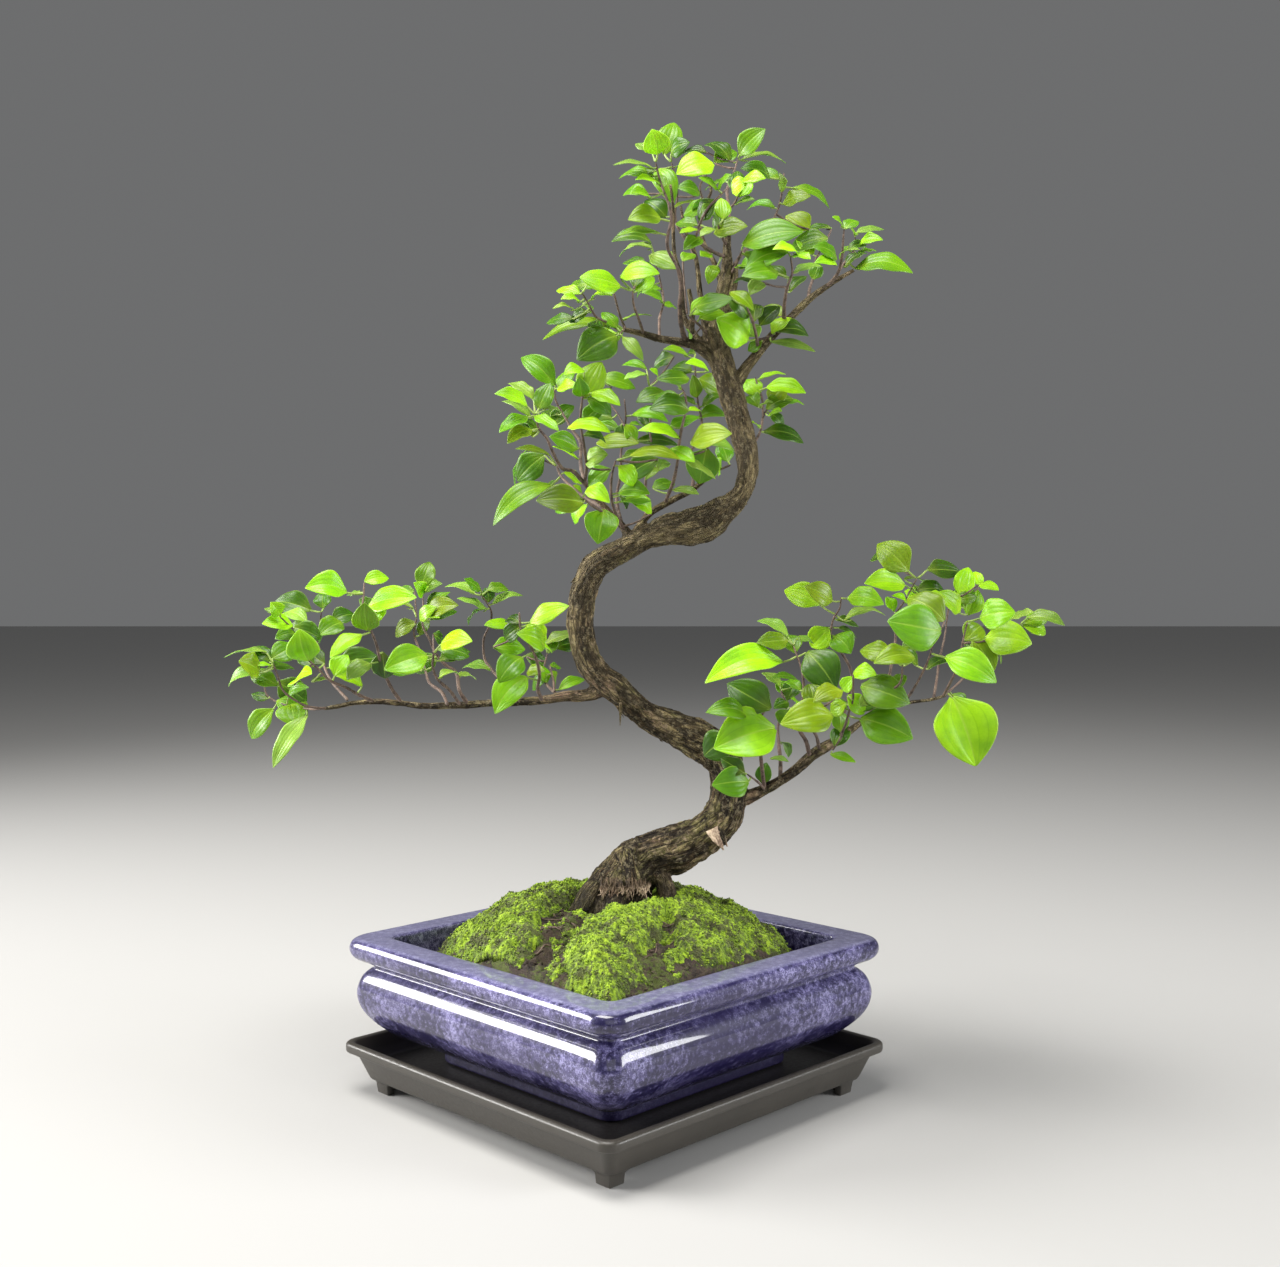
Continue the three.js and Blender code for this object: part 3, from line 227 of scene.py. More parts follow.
def newGroup(name, inputs, outputs):
    group = bpy.data.node_groups.new(name, "ShaderNodeTree")
    for label, kind, value in inputs:
        socket = group.interface.new_socket(name=label, in_out="INPUT", socket_type=kind)
        if value is not None:
            socket.default_value = value
    for label, kind in outputs:
        group.interface.new_socket(name=label, in_out="OUTPUT", socket_type=kind)
    return group, group.nodes.new("NodeGroupInput"), group.nodes.new("NodeGroupOutput")


# Blotches with crumbs inside them: a large and a small noise mixed and sharpened to a mask.
def makeMottle():
    group, source, target = newGroup("mottle", [
        ("Vector", "NodeSocketVector", None),
        ("Blotch", "NodeSocketFloat", 30.0), ("Fleck", "NodeSocketFloat", 400.0),
        ("Share", "NodeSocketFloat", 0.5),
        ("Low", "NodeSocketFloat", 0.4), ("High", "NodeSocketFloat", 0.6),
    ], [("Mask", "NodeSocketFloat"), ("Fine", "NodeSocketFloat")])
    noises = []
    for size, detail, roughness in (("Blotch", 3.0, 0.55), ("Fleck", 4.0, 0.65)):
        noises.append(addNode(group, "ShaderNodeTexNoise", {
            "Vector": source.outputs["Vector"], "Scale": source.outputs[size],
            "Detail": detail, "Roughness": roughness,
        }).outputs[0])
    blotch, fleck = noises
    both = addNode(group, "ShaderNodeMix", {0: source.outputs["Share"], 2: blotch, 3: fleck})
    mask = addNode(group, "ShaderNodeMapRange", {
        0: both.outputs[0], 1: source.outputs["Low"], 2: source.outputs["High"],
    }, interpolation_type="SMOOTHSTEP")
    group.links.new(mask.outputs[0], target.inputs["Mask"])
    group.links.new(fleck, target.inputs["Fine"])
    return group


mottle = makeMottle()


# Blotch and fleck are the two noises' scales, share is how much of the fleck shows,
# and the mask rises from low to high.
def fillMottle(tree, vector, blotch, fleck, share, low, high):
    made = tree.nodes.new("ShaderNodeGroup")
    made.node_tree = mottle
    tree.links.new(vector, made.inputs["Vector"])
    for key, value in zip(("Blotch", "Fleck", "Share", "Low", "High"), (blotch, fleck, share, low, high)):
        made.inputs[key].default_value = value
    return made


def objectCoords(tree):
    return addNode(tree, "ShaderNodeTexCoord").outputs["Object"]


def noiseNode(tree, where, scale, detail):
    return addNode(tree, "ShaderNodeTexNoise",
                   {"Vector": where, "Scale": scale, "Detail": detail}).outputs[0]


def attributeNode(tree, name, output):
    return addNode(tree, "ShaderNodeAttribute", attribute_name=name).outputs[output]


# Height above the ground, in metres.
def levelOf(tree, where):
    return addNode(tree, "ShaderNodeSeparateXYZ", {0: where}).outputs[2]


def bumpNode(tree, height, strength, distance):
    return addNode(tree, "ShaderNodeBump",
                   {"Height": height, "Strength": strength, "Distance": distance}).outputs[0]


# Way across a leaf, 0 at the midrib and 1 at the edges, and way along it from the stalk.
def leafWays(tree):
    uv = addNode(tree, "ShaderNodeUVMap", uv_map="leafUv").outputs[0]
    ways = addNode(tree, "ShaderNodeSeparateXYZ", {0: uv})
    centred = mathNode(tree, "SUBTRACT", times(tree, ways.outputs[0], 2.0), 1.0)
    return mathNode(tree, "ABSOLUTE", centred), ways.outputs[1]


def makeLeafFace():
    material, tree, shader = newMaterial("leafFace", Roughness=0.36, Specular_IOR_Level=0.3,
                                         Subsurface_Weight=0.2, Subsurface_Scale=0.002)
    shader.inputs["Subsurface Radius"].default_value = (0.6, 1.0, 0.2)
    tint = attributeNode(tree, "tint", "Color")
    across, along = leafWays(tree)
    where = objectCoords(tree)
    patches = noiseNode(tree, where, 90.0, 2.0)
    # Veins curve from base to tip where the way across is the same.
    bend = mathNode(tree, "ADD", across, times(tree, mathNode(tree, "SUBTRACT", patches, 0.5), 0.05))
    ribs = mathNode(tree, "PINGPONG", bend, 0.165)
    ribMask = rangeNode(tree, ribs, 0.0, 0.035, 1.0, 0.0, True)
    midrib = rangeNode(tree, across, 0.0, 0.075, 1.0, 0.0, True)
    fine = noiseNode(tree, where, 900.0, 3.0)
    # Deeper green in blotches, paler towards the stalk and between the ribs. The paler stalk end is partly
    # the leaf's own colour and partly a painted sheen.
    shaded = mixColour(tree, 1.0, tint, (0.62, 0.7, 0.5, 1), "MULTIPLY")
    blotched = mixColour(tree, rangeNode(tree, patches, 0.35, 0.7), tint, shaded)
    pale = times(tree, rangeNode(tree, along, 0.02, 0.42, 1.0, 0.0, True),
                 rangeNode(tree, across, 0.1, 0.9, 0.75, 0.25))
    paleBaseAndSheen = laidOver(tree, blotched, pale, 0.27, (0.55, 0.68, 0.06, 1))
    dark = mixColour(tree, 1.0, paleBaseAndSheen, (0.5, 0.6, 0.4, 1), "MULTIPLY")
    ribbed = laidOver(tree, paleBaseAndSheen, ribMask, 0.32, dark)
    lined = laidOver(tree, ribbed, midrib, 0.35, (0.42, 0.6, 0.08, 1))
    speckled = mixColour(tree, times(tree, rangeNode(tree, fine, 0.35, 0.7), 0.35), lined,
                         (0.75, 0.85, 0.6, 1), "MULTIPLY")
    edged = laidOver(tree, speckled, rangeNode(tree, across, 0.9, 1.0, 0.0, 1.0, True), 0.25,
                     (0.5, 0.65, 0.12, 1))
    tree.links.new(edged, shader.inputs["Base Color"])
    tree.links.new(rangeNode(tree, fine, 0.3, 0.7, 0.28, 0.46), shader.inputs["Roughness"])
    relief = mathNode(tree, "SUBTRACT", rangeNode(tree, ribs, 0.0, 0.15, 0.0, 1.0, True),
                      times(tree, midrib, 0.8))
    height = mathNode(tree, "ADD", relief, times(tree, fine, 0.25))
    tree.links.new(bumpNode(tree, height, 0.2, 0.0004), shader.inputs["Normal"])
    return material


def makeLeafBack():
    material, tree, shader = newMaterial("leafBack", Roughness=0.5, Subsurface_Weight=0.2,
                                         Subsurface_Scale=0.002)
    shader.inputs["Subsurface Radius"].default_value = (0.6, 1.0, 0.2)
    tint = attributeNode(tree, "tint", "Color")
    across = leafWays(tree)[0]
    ribs = mathNode(tree, "PINGPONG", across, 0.15)
    ribMask = rangeNode(tree, ribs, 0.0, 0.06, 1.0, 0.0, True)
    midrib = rangeNode(tree, across, 0.0, 0.1, 1.0, 0.0, True)
    fine = noiseNode(tree, objectCoords(tree), 500.0, 3.0)
    washed = mixColour(tree, 0.3, tint, (0.24, 0.44, 0.1, 1))
    ribbed = laidOver(tree, washed, mathNode(tree, "MAXIMUM", ribMask, midrib), 0.3, (0.4, 0.52, 0.18, 1))
    mottled = mixColour(tree, times(tree, fine, 0.4), ribbed, (0.75, 0.82, 0.62, 1), "MULTIPLY")
    tree.links.new(mottled, shader.inputs["Base Color"])
    height = mathNode(tree, "ADD", mathNode(tree, "MAXIMUM", ribMask, midrib), times(tree, fine, 0.2))
    tree.links.new(bumpNode(tree, height, 0.5, 0.0004), shader.inputs["Normal"])
    return material


def makeStalk():
    material, tree, shader = newMaterial("stalk", Roughness=0.42)
    where = objectCoords(tree)
    spots = fillMottle(tree, where, 120.0, 900.0, 0.5, 0.35, 0.65)
    colour = mixColour(tree, spots.outputs["Mask"], (0.15, 0.26, 0.03, 1), (0.34, 0.44, 0.1, 1))
    tree.links.new(colour, shader.inputs["Base Color"])
    tree.links.new(bumpNode(tree, spots.outputs["Fine"], 0.3, 0.0002), shader.inputs["Normal"])
    return material


def makeTwigBark():
    material, tree, shader = newMaterial("twigBark", Roughness=0.72)
    where = objectCoords(tree)
    broad = fillMottle(tree, where, 70.0, 420.0, 0.55, 0.38, 0.62)
    tight = fillMottle(tree, where, 260.0, 1500.0, 0.6, 0.42, 0.6)
    colour = mixColour(tree, broad.outputs["Mask"], (0.028, 0.016, 0.013, 1), (0.13, 0.082, 0.064, 1))
    # Pale pinkish flecks, partly the bark's own colour and partly a painted highlight.
    colour = laidOver(tree, colour, tight.outputs["Mask"], 0.45, (0.3, 0.21, 0.15, 1))
    tree.links.new(colour, shader.inputs["Base Color"])
    tree.links.new(rangeNode(tree, tight.outputs["Fine"], 0.3, 0.7, 0.55, 0.85), shader.inputs["Roughness"])
    height = mathNode(tree, "ADD", broad.outputs["Fine"], times(tree, tight.outputs["Fine"], 0.5))
    tree.links.new(bumpNode(tree, height, 0.7, 0.0005), shader.inputs["Normal"])
    return material


def makeBark():
    material, tree, shader = newMaterial("bark", Roughness=0.8, Specular_IOR_Level=0.22)
    grain = attributeNode(tree, "barkCoord", "Vector")
    where = objectCoords(tree)
    drawn = addNode(tree, "ShaderNodeVectorMath", {0: grain, 1: (1.0, 1.0, 0.5)},
                    operation="MULTIPLY").outputs[0]
    patches = fillMottle(tree, grain, 125.0, 520.0, 0.36, 0.48, 0.525)
    streaks = fillMottle(tree, drawn, 560.0, 1500.0, 0.4, 0.46, 0.56)
    crust = fillMottle(tree, where, 420.0, 1500.0, 0.4, 0.5, 0.58)
    greens = fillMottle(tree, where, 40.0, 300.0, 0.4, 0.49, 0.57)
    pinks = fillMottle(tree, where, 24.0, 420.0, 0.36, 0.5, 0.57)
    cracks = addNode(tree, "ShaderNodeTexVoronoi", {"Vector": drawn, "Scale": 330.0, "Randomness": 1.0},
                     feature="DISTANCE_TO_EDGE").outputs[0]
    crackMask = rangeNode(tree, cracks, 0.0, 0.1, 1.0, 0.0, True)
    light = mixColour(tree, streaks.outputs["Mask"], (0.1, 0.068, 0.03, 1), (0.42, 0.33, 0.16, 1))
    light = laidOver(tree, light, greens.outputs["Mask"], 0.5, (0.2, 0.2, 0.06, 1))
    light = laidOver(tree, light, pinks.outputs["Mask"], 0.55, (0.34, 0.19, 0.15, 1))
    dark = mixColour(tree, streaks.outputs["Mask"], (0.012, 0.007, 0.004, 1), (0.1, 0.065, 0.032, 1))
    colour = mixColour(tree, patches.outputs["Mask"], dark, light)
    colour = laidOver(tree, colour, crust.outputs["Mask"], 0.4, (0.58, 0.49, 0.3, 1))
    pits = rangeNode(tree, crust.outputs["Fine"], 0.38, 0.45, 0.7, 0.0, True)
    colour = mixColour(tree, pits, colour, (0.012, 0.007, 0.004, 1))
    colour = laidOver(tree, colour, crackMask, 0.7, (0.014, 0.009, 0.005, 1))
    # Painted shade in the hollows between the bark's ridges.
    hollow = attributeNode(tree, "hollow", "Fac")
    colour = mixColour(tree, rangeNode(tree, hollow, 0.5, 0.8, 0.0, 0.75), colour, (0.02, 0.013, 0.008, 1))
    # Darker near the soil; paler higher up, where a painted highlight lightens the bark.
    level = levelOf(tree, where)
    paintedHighlight = times(tree, rangeNode(tree, level, 0.15, 0.3, 0.0, 0.42),
                rangeNode(tree, patches.outputs["Mask"], 0.0, 1.0, 0.45, 1.0))
    colour = mixColour(tree, paintedHighlight, colour, (0.3, 0.235, 0.12, 1))
    darkNearSoil = rangeNode(tree, level, 0.1, 0.126, 1.0, 0.0, True)
    colour = laidOver(tree, colour, darkNearSoil, 0.75, (0.016, 0.011, 0.008, 1))
    tree.links.new(colour, shader.inputs["Base Color"])
    tree.links.new(rangeNode(tree, crust.outputs["Fine"], 0.3, 0.7, 0.58, 0.9), shader.inputs["Roughness"])
    height = mathNode(tree, "ADD", times(tree, streaks.outputs["Mask"], 0.7),
                      times(tree, crust.outputs["Fine"], 1.2))
    height = mathNode(tree, "ADD", height, times(tree, patches.outputs["Mask"], 0.8))
    height = mathNode(tree, "SUBTRACT", height, times(tree, crackMask, 0.7))
    tree.links.new(bumpNode(tree, height, 1.0, 0.0014), shader.inputs["Normal"])
    return material


def makeGlaze():
    material, tree, shader = newMaterial("potGlaze", Roughness=0.4, Specular_IOR_Level=0.25,
                                         Coat_Weight=1.0, Coat_Roughness=0.04, Coat_IOR=1.5)
    where = objectCoords(tree)
    cloud = fillMottle(tree, where, 36.0, 420.0, 0.5, 0.42, 0.59)
    speck = fillMottle(tree, where, 330.0, 1700.0, 0.6, 0.47, 0.58)
    drift = noiseNode(tree, where, 14.0, 2.0)
    normal = addNode(tree, "ShaderNodeNewGeometry").outputs["Normal"]
    rising = addNode(tree, "ShaderNodeSeparateXYZ", {0: normal}).outputs[2]
    level = levelOf(tree, where)
    # Painted light: the upward-facing top of the rim is painted paler lavender.
    top = times(tree, rangeNode(tree, rising, 0.8, 0.97, 0.0, 1.0, True),
                rangeNode(tree, level, 0.074, 0.078))
    colour = mixColour(tree, cloud.outputs["Mask"], (0.005, 0.003, 0.036, 1), (0.062, 0.053, 0.158, 1))
    colour = mixColour(tree, times(tree, speck.outputs["Mask"], times(tree, cloud.outputs["Mask"], 0.8)),
                       colour, (0.36, 0.34, 0.6, 1))
    colour = laidOver(tree, colour, speck.outputs["Mask"], 0.12, (0.14, 0.12, 0.3, 1))
    colour = mixColour(tree, rangeNode(tree, drift, 0.48, 0.7, 0.0, 0.7), colour, (0.012, 0.007, 0.06, 1))
    paintedRimLight = mixColour(tree, speck.outputs["Mask"], (0.13, 0.125, 0.24, 1), (0.25, 0.245, 0.38, 1))
    colour = mixColour(tree, times(tree, top, 0.88), colour, paintedRimLight)
    # Painted shade: dark inside the mouth and under the belly.
    inside = rangeNode(tree, level, 0.022, 0.036, 0.85, 0.0)
    colour = mixColour(tree, inside, colour, (0.008, 0.005, 0.03, 1))
    tree.links.new(colour, shader.inputs["Base Color"])
    tree.links.new(rangeNode(tree, level, 0.024, 0.034, 0.1, 1.0, True), shader.inputs["Coat Weight"])
    tree.links.new(rangeNode(tree, speck.outputs["Fine"], 0.3, 0.7, 0.34, 0.5), shader.inputs["Roughness"])
    ripple = noiseNode(tree, where, 60.0, 2.0)
    height = mathNode(tree, "ADD", ripple, times(tree, speck.outputs["Fine"], 0.06))
    tree.links.new(bumpNode(tree, height, 0.12, 0.0012), shader.inputs["Normal"])
    return material


def makeTrayPlastic():
    material, tree, shader = newMaterial("trayPlastic", Roughness=0.36)
    where = objectCoords(tree)
    scuffs = fillMottle(tree, where, 26.0, 600.0, 0.4, 0.46, 0.64)
    grainy = noiseNode(tree, where, 1500.0, 3.0)
    level = levelOf(tree, where)
    inner = attributeNode(tree, "inner", "Fac")
    colour = mixColour(tree, times(tree, scuffs.outputs["Mask"], 0.5), (0.036, 0.032, 0.026, 1),
                       (0.06, 0.053, 0.043, 1))
    # Painted shade: the tray's inner side is laid over nearly black.
    colour = laidOver(tree, colour, inner, 0.85, (0.012, 0.011, 0.012, 1))
    # Painted light: paler towards the bottom of the tray.
    colour = laidOver(tree, colour, rangeNode(tree, level, 0.0, 0.012, 1.0, 0.0), 0.3,
                      (0.09, 0.083, 0.074, 1))
    tree.links.new(colour, shader.inputs["Base Color"])
    rough = mathNode(tree, "ADD", rangeNode(tree, scuffs.outputs["Fine"], 0.3, 0.7, 0.3, 0.48),
                     times(tree, inner, 0.05))
    tree.links.new(rough, shader.inputs["Roughness"])
    tree.links.new(bumpNode(tree, grainy, 0.25, 0.0002), shader.inputs["Normal"])
    return material


def makeSoil():
    material, tree, shader = newMaterial("pottingSoil", Roughness=0.92)
    where = objectCoords(tree)
    broad = fillMottle(tree, where, 60.0, 420.0, 0.5, 0.4, 0.6)
    crumbs = fillMottle(tree, where, 280.0, 1600.0, 0.5, 0.42, 0.62)
    colour = mixColour(tree, broad.outputs["Mask"], (0.014, 0.009, 0.007, 1), (0.055, 0.034, 0.024, 1))
    colour = laidOver(tree, colour, crumbs.outputs["Mask"], 0.4, (0.16, 0.115, 0.075, 1))
    shade = attributeNode(tree, "tint", "Fac")
    colour = laidOver(tree, colour, shade, 0.6, (0.2, 0.15, 0.1, 1))
    # Young moss dusts the soil here and there.
    dust = fillMottle(tree, where, 75.0, 700.0, 0.45, 0.49, 0.56)
    colour = laidOver(tree, colour, dust.outputs["Mask"], 0.6, (0.1, 0.15, 0.012, 1))
    tree.links.new(colour, shader.inputs["Base Color"])
    tree.links.new(rangeNode(tree, crumbs.outputs["Fine"], 0.3, 0.7, 0.75, 0.98),
                   shader.inputs["Roughness"])
    height = mathNode(tree, "ADD", broad.outputs["Fine"], crumbs.outputs["Fine"])
    tree.links.new(bumpNode(tree, height, 1.0, 0.0016), shader.inputs["Normal"])
    return material


def makeMossGreen():
    material, tree, shader = newMaterial("mossGreen", Roughness=0.85, Sheen_Weight=0.25,
                                         Sheen_Roughness=0.5)
    shader.inputs["Sheen Tint"].default_value = (0.7, 1.0, 0.3, 1)
    where = objectCoords(tree)
    clumps = fillMottle(tree, where, 110.0, 520.0, 0.45, 0.43, 0.57)
    flecks = fillMottle(tree, where, 420.0, 1500.0, 0.5, 0.4, 0.62)
    bare = fillMottle(tree, where, 100.0, 460.0, 0.42, 0.515, 0.56)
    colour = mixColour(tree, clumps.outputs["Mask"], (0.04, 0.06, 0.004, 1), (0.22, 0.36, 0.006, 1))
    colour = laidOver(tree, colour, flecks.outputs["Mask"], 0.45, (0.36, 0.54, 0.012, 1))
    # The tint rises with the cushion's height: darker in the hollows as painted shade, brighter on the tops
    # partly as the moss's own paler tips and partly as painted light.
    shade = attributeNode(tree, "tint", "Fac")
    colour = mixColour(tree, rangeNode(tree, shade, 0.0, 0.55, 0.9, 0.0), colour, (0.022, 0.035, 0.005, 1))
    colour = mixColour(tree, rangeNode(tree, shade, 0.55, 1.0, 0.0, 0.6), colour, (0.55, 0.78, 0.02, 1))
    colour = laidOver(tree, colour, bare.outputs["Mask"], 0.85, (0.042, 0.03, 0.016, 1))
    tree.links.new(colour, shader.inputs["Base Color"])
    tree.links.new(rangeNode(tree, flecks.outputs["Fine"], 0.3, 0.7, 0.7, 0.95), shader.inputs["Roughness"])
    height = mathNode(tree, "ADD", clumps.outputs["Fine"], times(tree, flecks.outputs["Fine"], 0.8))
    tree.links.new(bumpNode(tree, height, 1.0, 0.0014), shader.inputs["Normal"])
    return material


leafFace, leafBack, stalkGreen, twigBark = makeLeafFace(), makeLeafBack(), makeStalk(), makeTwigBark()
bark, glaze, trayPlastic = makeBark(), makeGlaze(), makeTrayPlastic()
soilBrown, mossGreen = makeSoil(), makeMossGreen()
print("stage: materials made")


# A point of the pot's or tray's first quarter, turned round to the given quarter.
def quarterPoint(quarter, x, y, z):
    point = Matrix.Rotation(quarter * math.pi / 2, 4, "Z") @ Vector((x, y, 0))
    return potCentre + (turned @ Vector((point.x, point.y, z))) * mm


# Place of step k on a square with rounded corners; wave bows the sides a hair, as on a hand-finished pot.
def squarePoint(k, half, corner, z, cornerSteps, sideSteps, wave=0.0):
    perQuarter = cornerSteps + sideSteps
    quarter, step = divmod(k, perQuarter)
    radius = min(half, corner)
    centre = half - radius
    if step <= cornerSteps:
        angle = step / cornerSteps * math.pi / 2
        x, y = centre + radius * math.cos(angle), centre + radius * math.sin(angle)
    else:
        t = (step - cornerSteps) / sideSteps
        x, y = centre * (1 - 2 * t), half + wave * math.sin(math.pi * t) * math.sin(z * 0.11 + quarter)
    return quarterPoint(quarter, x, y, z)


# Smooths a profile of (half-width, height, corner radius) rows, keeping rows marked sharp.
def smoothProfile(rows, steps, sharp=()):
    out = []
    for i in range(len(rows) - 1):
        a, b = Vector(rows[i]), Vector(rows[i + 1])
        before = Vector(rows[i - 1]) if i and i not in sharp else a * 2 - b
        after = Vector(rows[i + 2]) if i + 2 < len(rows) and i + 1 not in sharp else b * 2 - a
        for j in range(steps):
            t = j / steps
            out.append(curvePoint(before, a, b, after, t))
    return [tuple(r) for r in out] + [rows[-1]]


# Profiles are rows of half-width, height and corner radius.
pot = {
    "outside": [
        (57.6, 16.3, 7), (62.4, 16.3, 8), (63.6, 16.9, 8), (64, 18, 8), (64, 21.4, 8), (63.4, 22.9, 8),
        (63.2, 23.9, 8), (66, 24.6, 8), (71, 25.9, 8), (78, 28.6, 8.5), (84.2, 32.3, 9), (91.1, 38.8, 9.5),
        (95.3, 45.6, 10), (96.6, 52.3, 10), (95.8, 57.6, 10), (94.2, 61.6, 10), (91.8, 64.2, 9.4),
        (90.3, 65.4, 9), (90.1, 66.6, 9), (91, 67.9, 9.4), (93.6, 69, 10), (97, 70.6, 11.4),
        (99.2, 72.8, 12.6), (100, 75.4, 13), (99.7, 77.8, 13), (98.6, 79.8, 12.6), (96.6, 80.9, 12),
    ],
    "inside": [
        (94.6, 81.1, 11), (88, 81.1, 8.4), (83.4, 81, 6.6), (82, 80.3, 6), (81.5, 78.8, 5.6),
        (81.5, 66, 5.5), (82.4, 52, 6), (79, 42, 6), (70, 33.6, 6), (52, 29.4, 6), (30, 28.6, 8),
        (9, 28.4, 8), (7.6, 27.6, 7.6), (7, 26, 7), (7, 22, 7), (7.8, 20.4, 7.8), (12, 20, 8), (40, 20, 8),
        (54, 19.8, 7), (56.6, 18.6, 7),
    ],
    "cornerSteps": 12, "sideSteps": 10, "wave": 0.22,
}


def makePot():
    rows = smoothProfile(pot["outside"] + pot["inside"] + pot["outside"][:1], 3, sharp=(1, 6))
    count = 4 * (pot["cornerSteps"] + pot["sideSteps"])
    bm = bmesh.new()

    def rowAt(j):
        half, z, corner = rows[j]
        wave = pot["wave"] if half > 50 else 0.0
        return lambda k: squarePoint(k, half, corner, z, pot["cornerSteps"], pot["sideSteps"], wave)

    ring = startRing(bm, count, rowAt(0), closed=False)
    for j in range(1, len(rows)):
        ring = extrudeRing(bm, ring, rowAt(j))
    bmesh.ops.remove_doubles(bm, verts=bm.verts, dist=0.00002)
    bmesh.ops.recalc_face_normals(bm, faces=bm.faces)
    return finishPiece("potBody", bm, [glaze], ["pot"])


tray = {
    "underside": [
        (70, 13.4, 4), (84, 13.4, 4), (85.8, 12.6, 4), (86.5, 9.4, 4), (87.2, 7.7, 4), (89.6, 7.6, 4.4),
        (90.3, 8.1, 4.6),
    ],
    "wall": [
        (91.2, 10, 4.8), (94.6, 18.6, 5.6), (95.6, 20.9, 6), (96.6, 21.4, 6.4), (98.4, 21.6, 7.2),
        (99.6, 22, 7.7), (100.05, 22.8, 7.8), (100.1, 25, 7.8), (99.9, 26, 7.7), (99.2, 26.7, 7.4),
        (98.4, 26.9, 7),
    ],
    "inside": [
        (97.2, 26.9, 6), (96.2, 26.5, 5.6), (95.7, 25.6, 5.4), (94.6, 23, 5), (93, 20, 4.6),
        (90.8, 17.4, 4.2), (89.4, 16.4, 4), (87.6, 16.1, 4), (80, 16, 4), (60, 16, 4),
    ],
    "cornerSteps": 10, "sideSteps": 8,
    # Each foot is an L in plan: rows of (height, scale, outer corner).
    "foot": {
        "reach": 9.6, "thick": 4.2,
        "levels": [(13.7, 1.6, 87.9), (7.4, 1.6, 87.9), (6.5, 1.5, 87.7), (5.6, 1.12, 87.2), (4.8, 1, 87),
                   (0, 0.94, 86.4)],
    },
}


def makeTray():
    rows = smoothProfile(tray["underside"] + tray["wall"] + tray["inside"], 3)
    count = 4 * (tray["cornerSteps"] + tray["sideSteps"])
    bm = bmesh.new()
    # Marks the tray's inner side, which the plastic paints nearly black as painted shade.
    dark = bm.verts.layers.float.new("inner")

    def rowAt(j):
        half, z, corner = rows[j]
        return lambda k: squarePoint(k, half, corner, z, tray["cornerSteps"], tray["sideSteps"])

    ring = startRing(bm, count, rowAt(0))
    turnOver = (len(tray["underside"]) + len(tray["wall"])) * 3 + 2
    for j in range(1, len(rows)):
        ring = extrudeRing(bm, ring, rowAt(j))
        for vert in ring:
            vert[dark] = clamped((j - turnOver) / 9)
    closeRing(bm, ring)
    bmesh.ops.recalc_face_normals(bm, faces=bm.faces)
    foot = tray["foot"]
    plan = [(0, 0), (-foot["reach"], 0), (-foot["reach"], -foot["thick"]), (-foot["thick"], -foot["thick"]),
            (-foot["thick"], -foot["reach"]), (0, -foot["reach"])]
    for quarter in range(4):
        before = set(bm.faces)

        def footAt(level):
            z, scale, corner = level

            def where(k):
                return quarterPoint(quarter, corner + plan[k][0] * scale, corner + plan[k][1] * scale, z)

            return where

        ring = startRing(bm, 6, footAt(foot["levels"][0]))
        for level in foot["levels"][1:]:
            ring = extrudeRing(bm, ring, footAt(level))
        closeRing(bm, ring)
        faces = [f for f in bm.faces if f not in before]
        bmesh.ops.recalc_face_normals(bm, faces=faces)
        edges = {e for f in faces for e in f.edges if e.calc_face_angle(0) > 0.4}
        bmesh.ops.bevel(bm, geom=list(edges), offset=0.0005, segments=2, profile=0.5, affect="EDGES",
                        material=-1)
    return finishPiece("dripTray", bm, [trayPlastic], ["drip_tray"])


makePot()
makeTray()
print("stage: pot and tray made")


# Height of the ground, mounded up under the trunk. u runs to the right, v away from the front.
def groundHeight(u, v):
    stretched = v * (ground["frontStretch"] if v < 0 else ground["backStretch"])
    reach = min(1, math.hypot(u, stretched) / ground["reach"])
    return ground["low"] + ground["rise"] * (1 - reach ** ground["slope"])


ground = {
    # Lowest height of the bed, rise of the mound, its reach and how it falls away.
    "low": 62, "rise": 36, "reach": 98, "slope": 2.6,
    "frontStretch": 0.8, "backStretch": 0.95,
    "half": 80.9,          # half-width of the soil, just inside the pot's wall
    "steps": 170,
    # Rows of height and share of the half-width, down the inside of the pot.
    "sides": [(56, 1.0), (50, 1.0), (42, 0.965), (34, 0.86), (30.2, 0.64)],
    "corner": 5,           # radius of the bed's corners
    "chips": 760, "chipSizes": (0.6, 0.8, 0.9, 1.3), "strands": 110,
    "within": 78,          # half-width that the litter keeps to
    "nearest": 28, "ring": 46, "stride": 3.2,
}
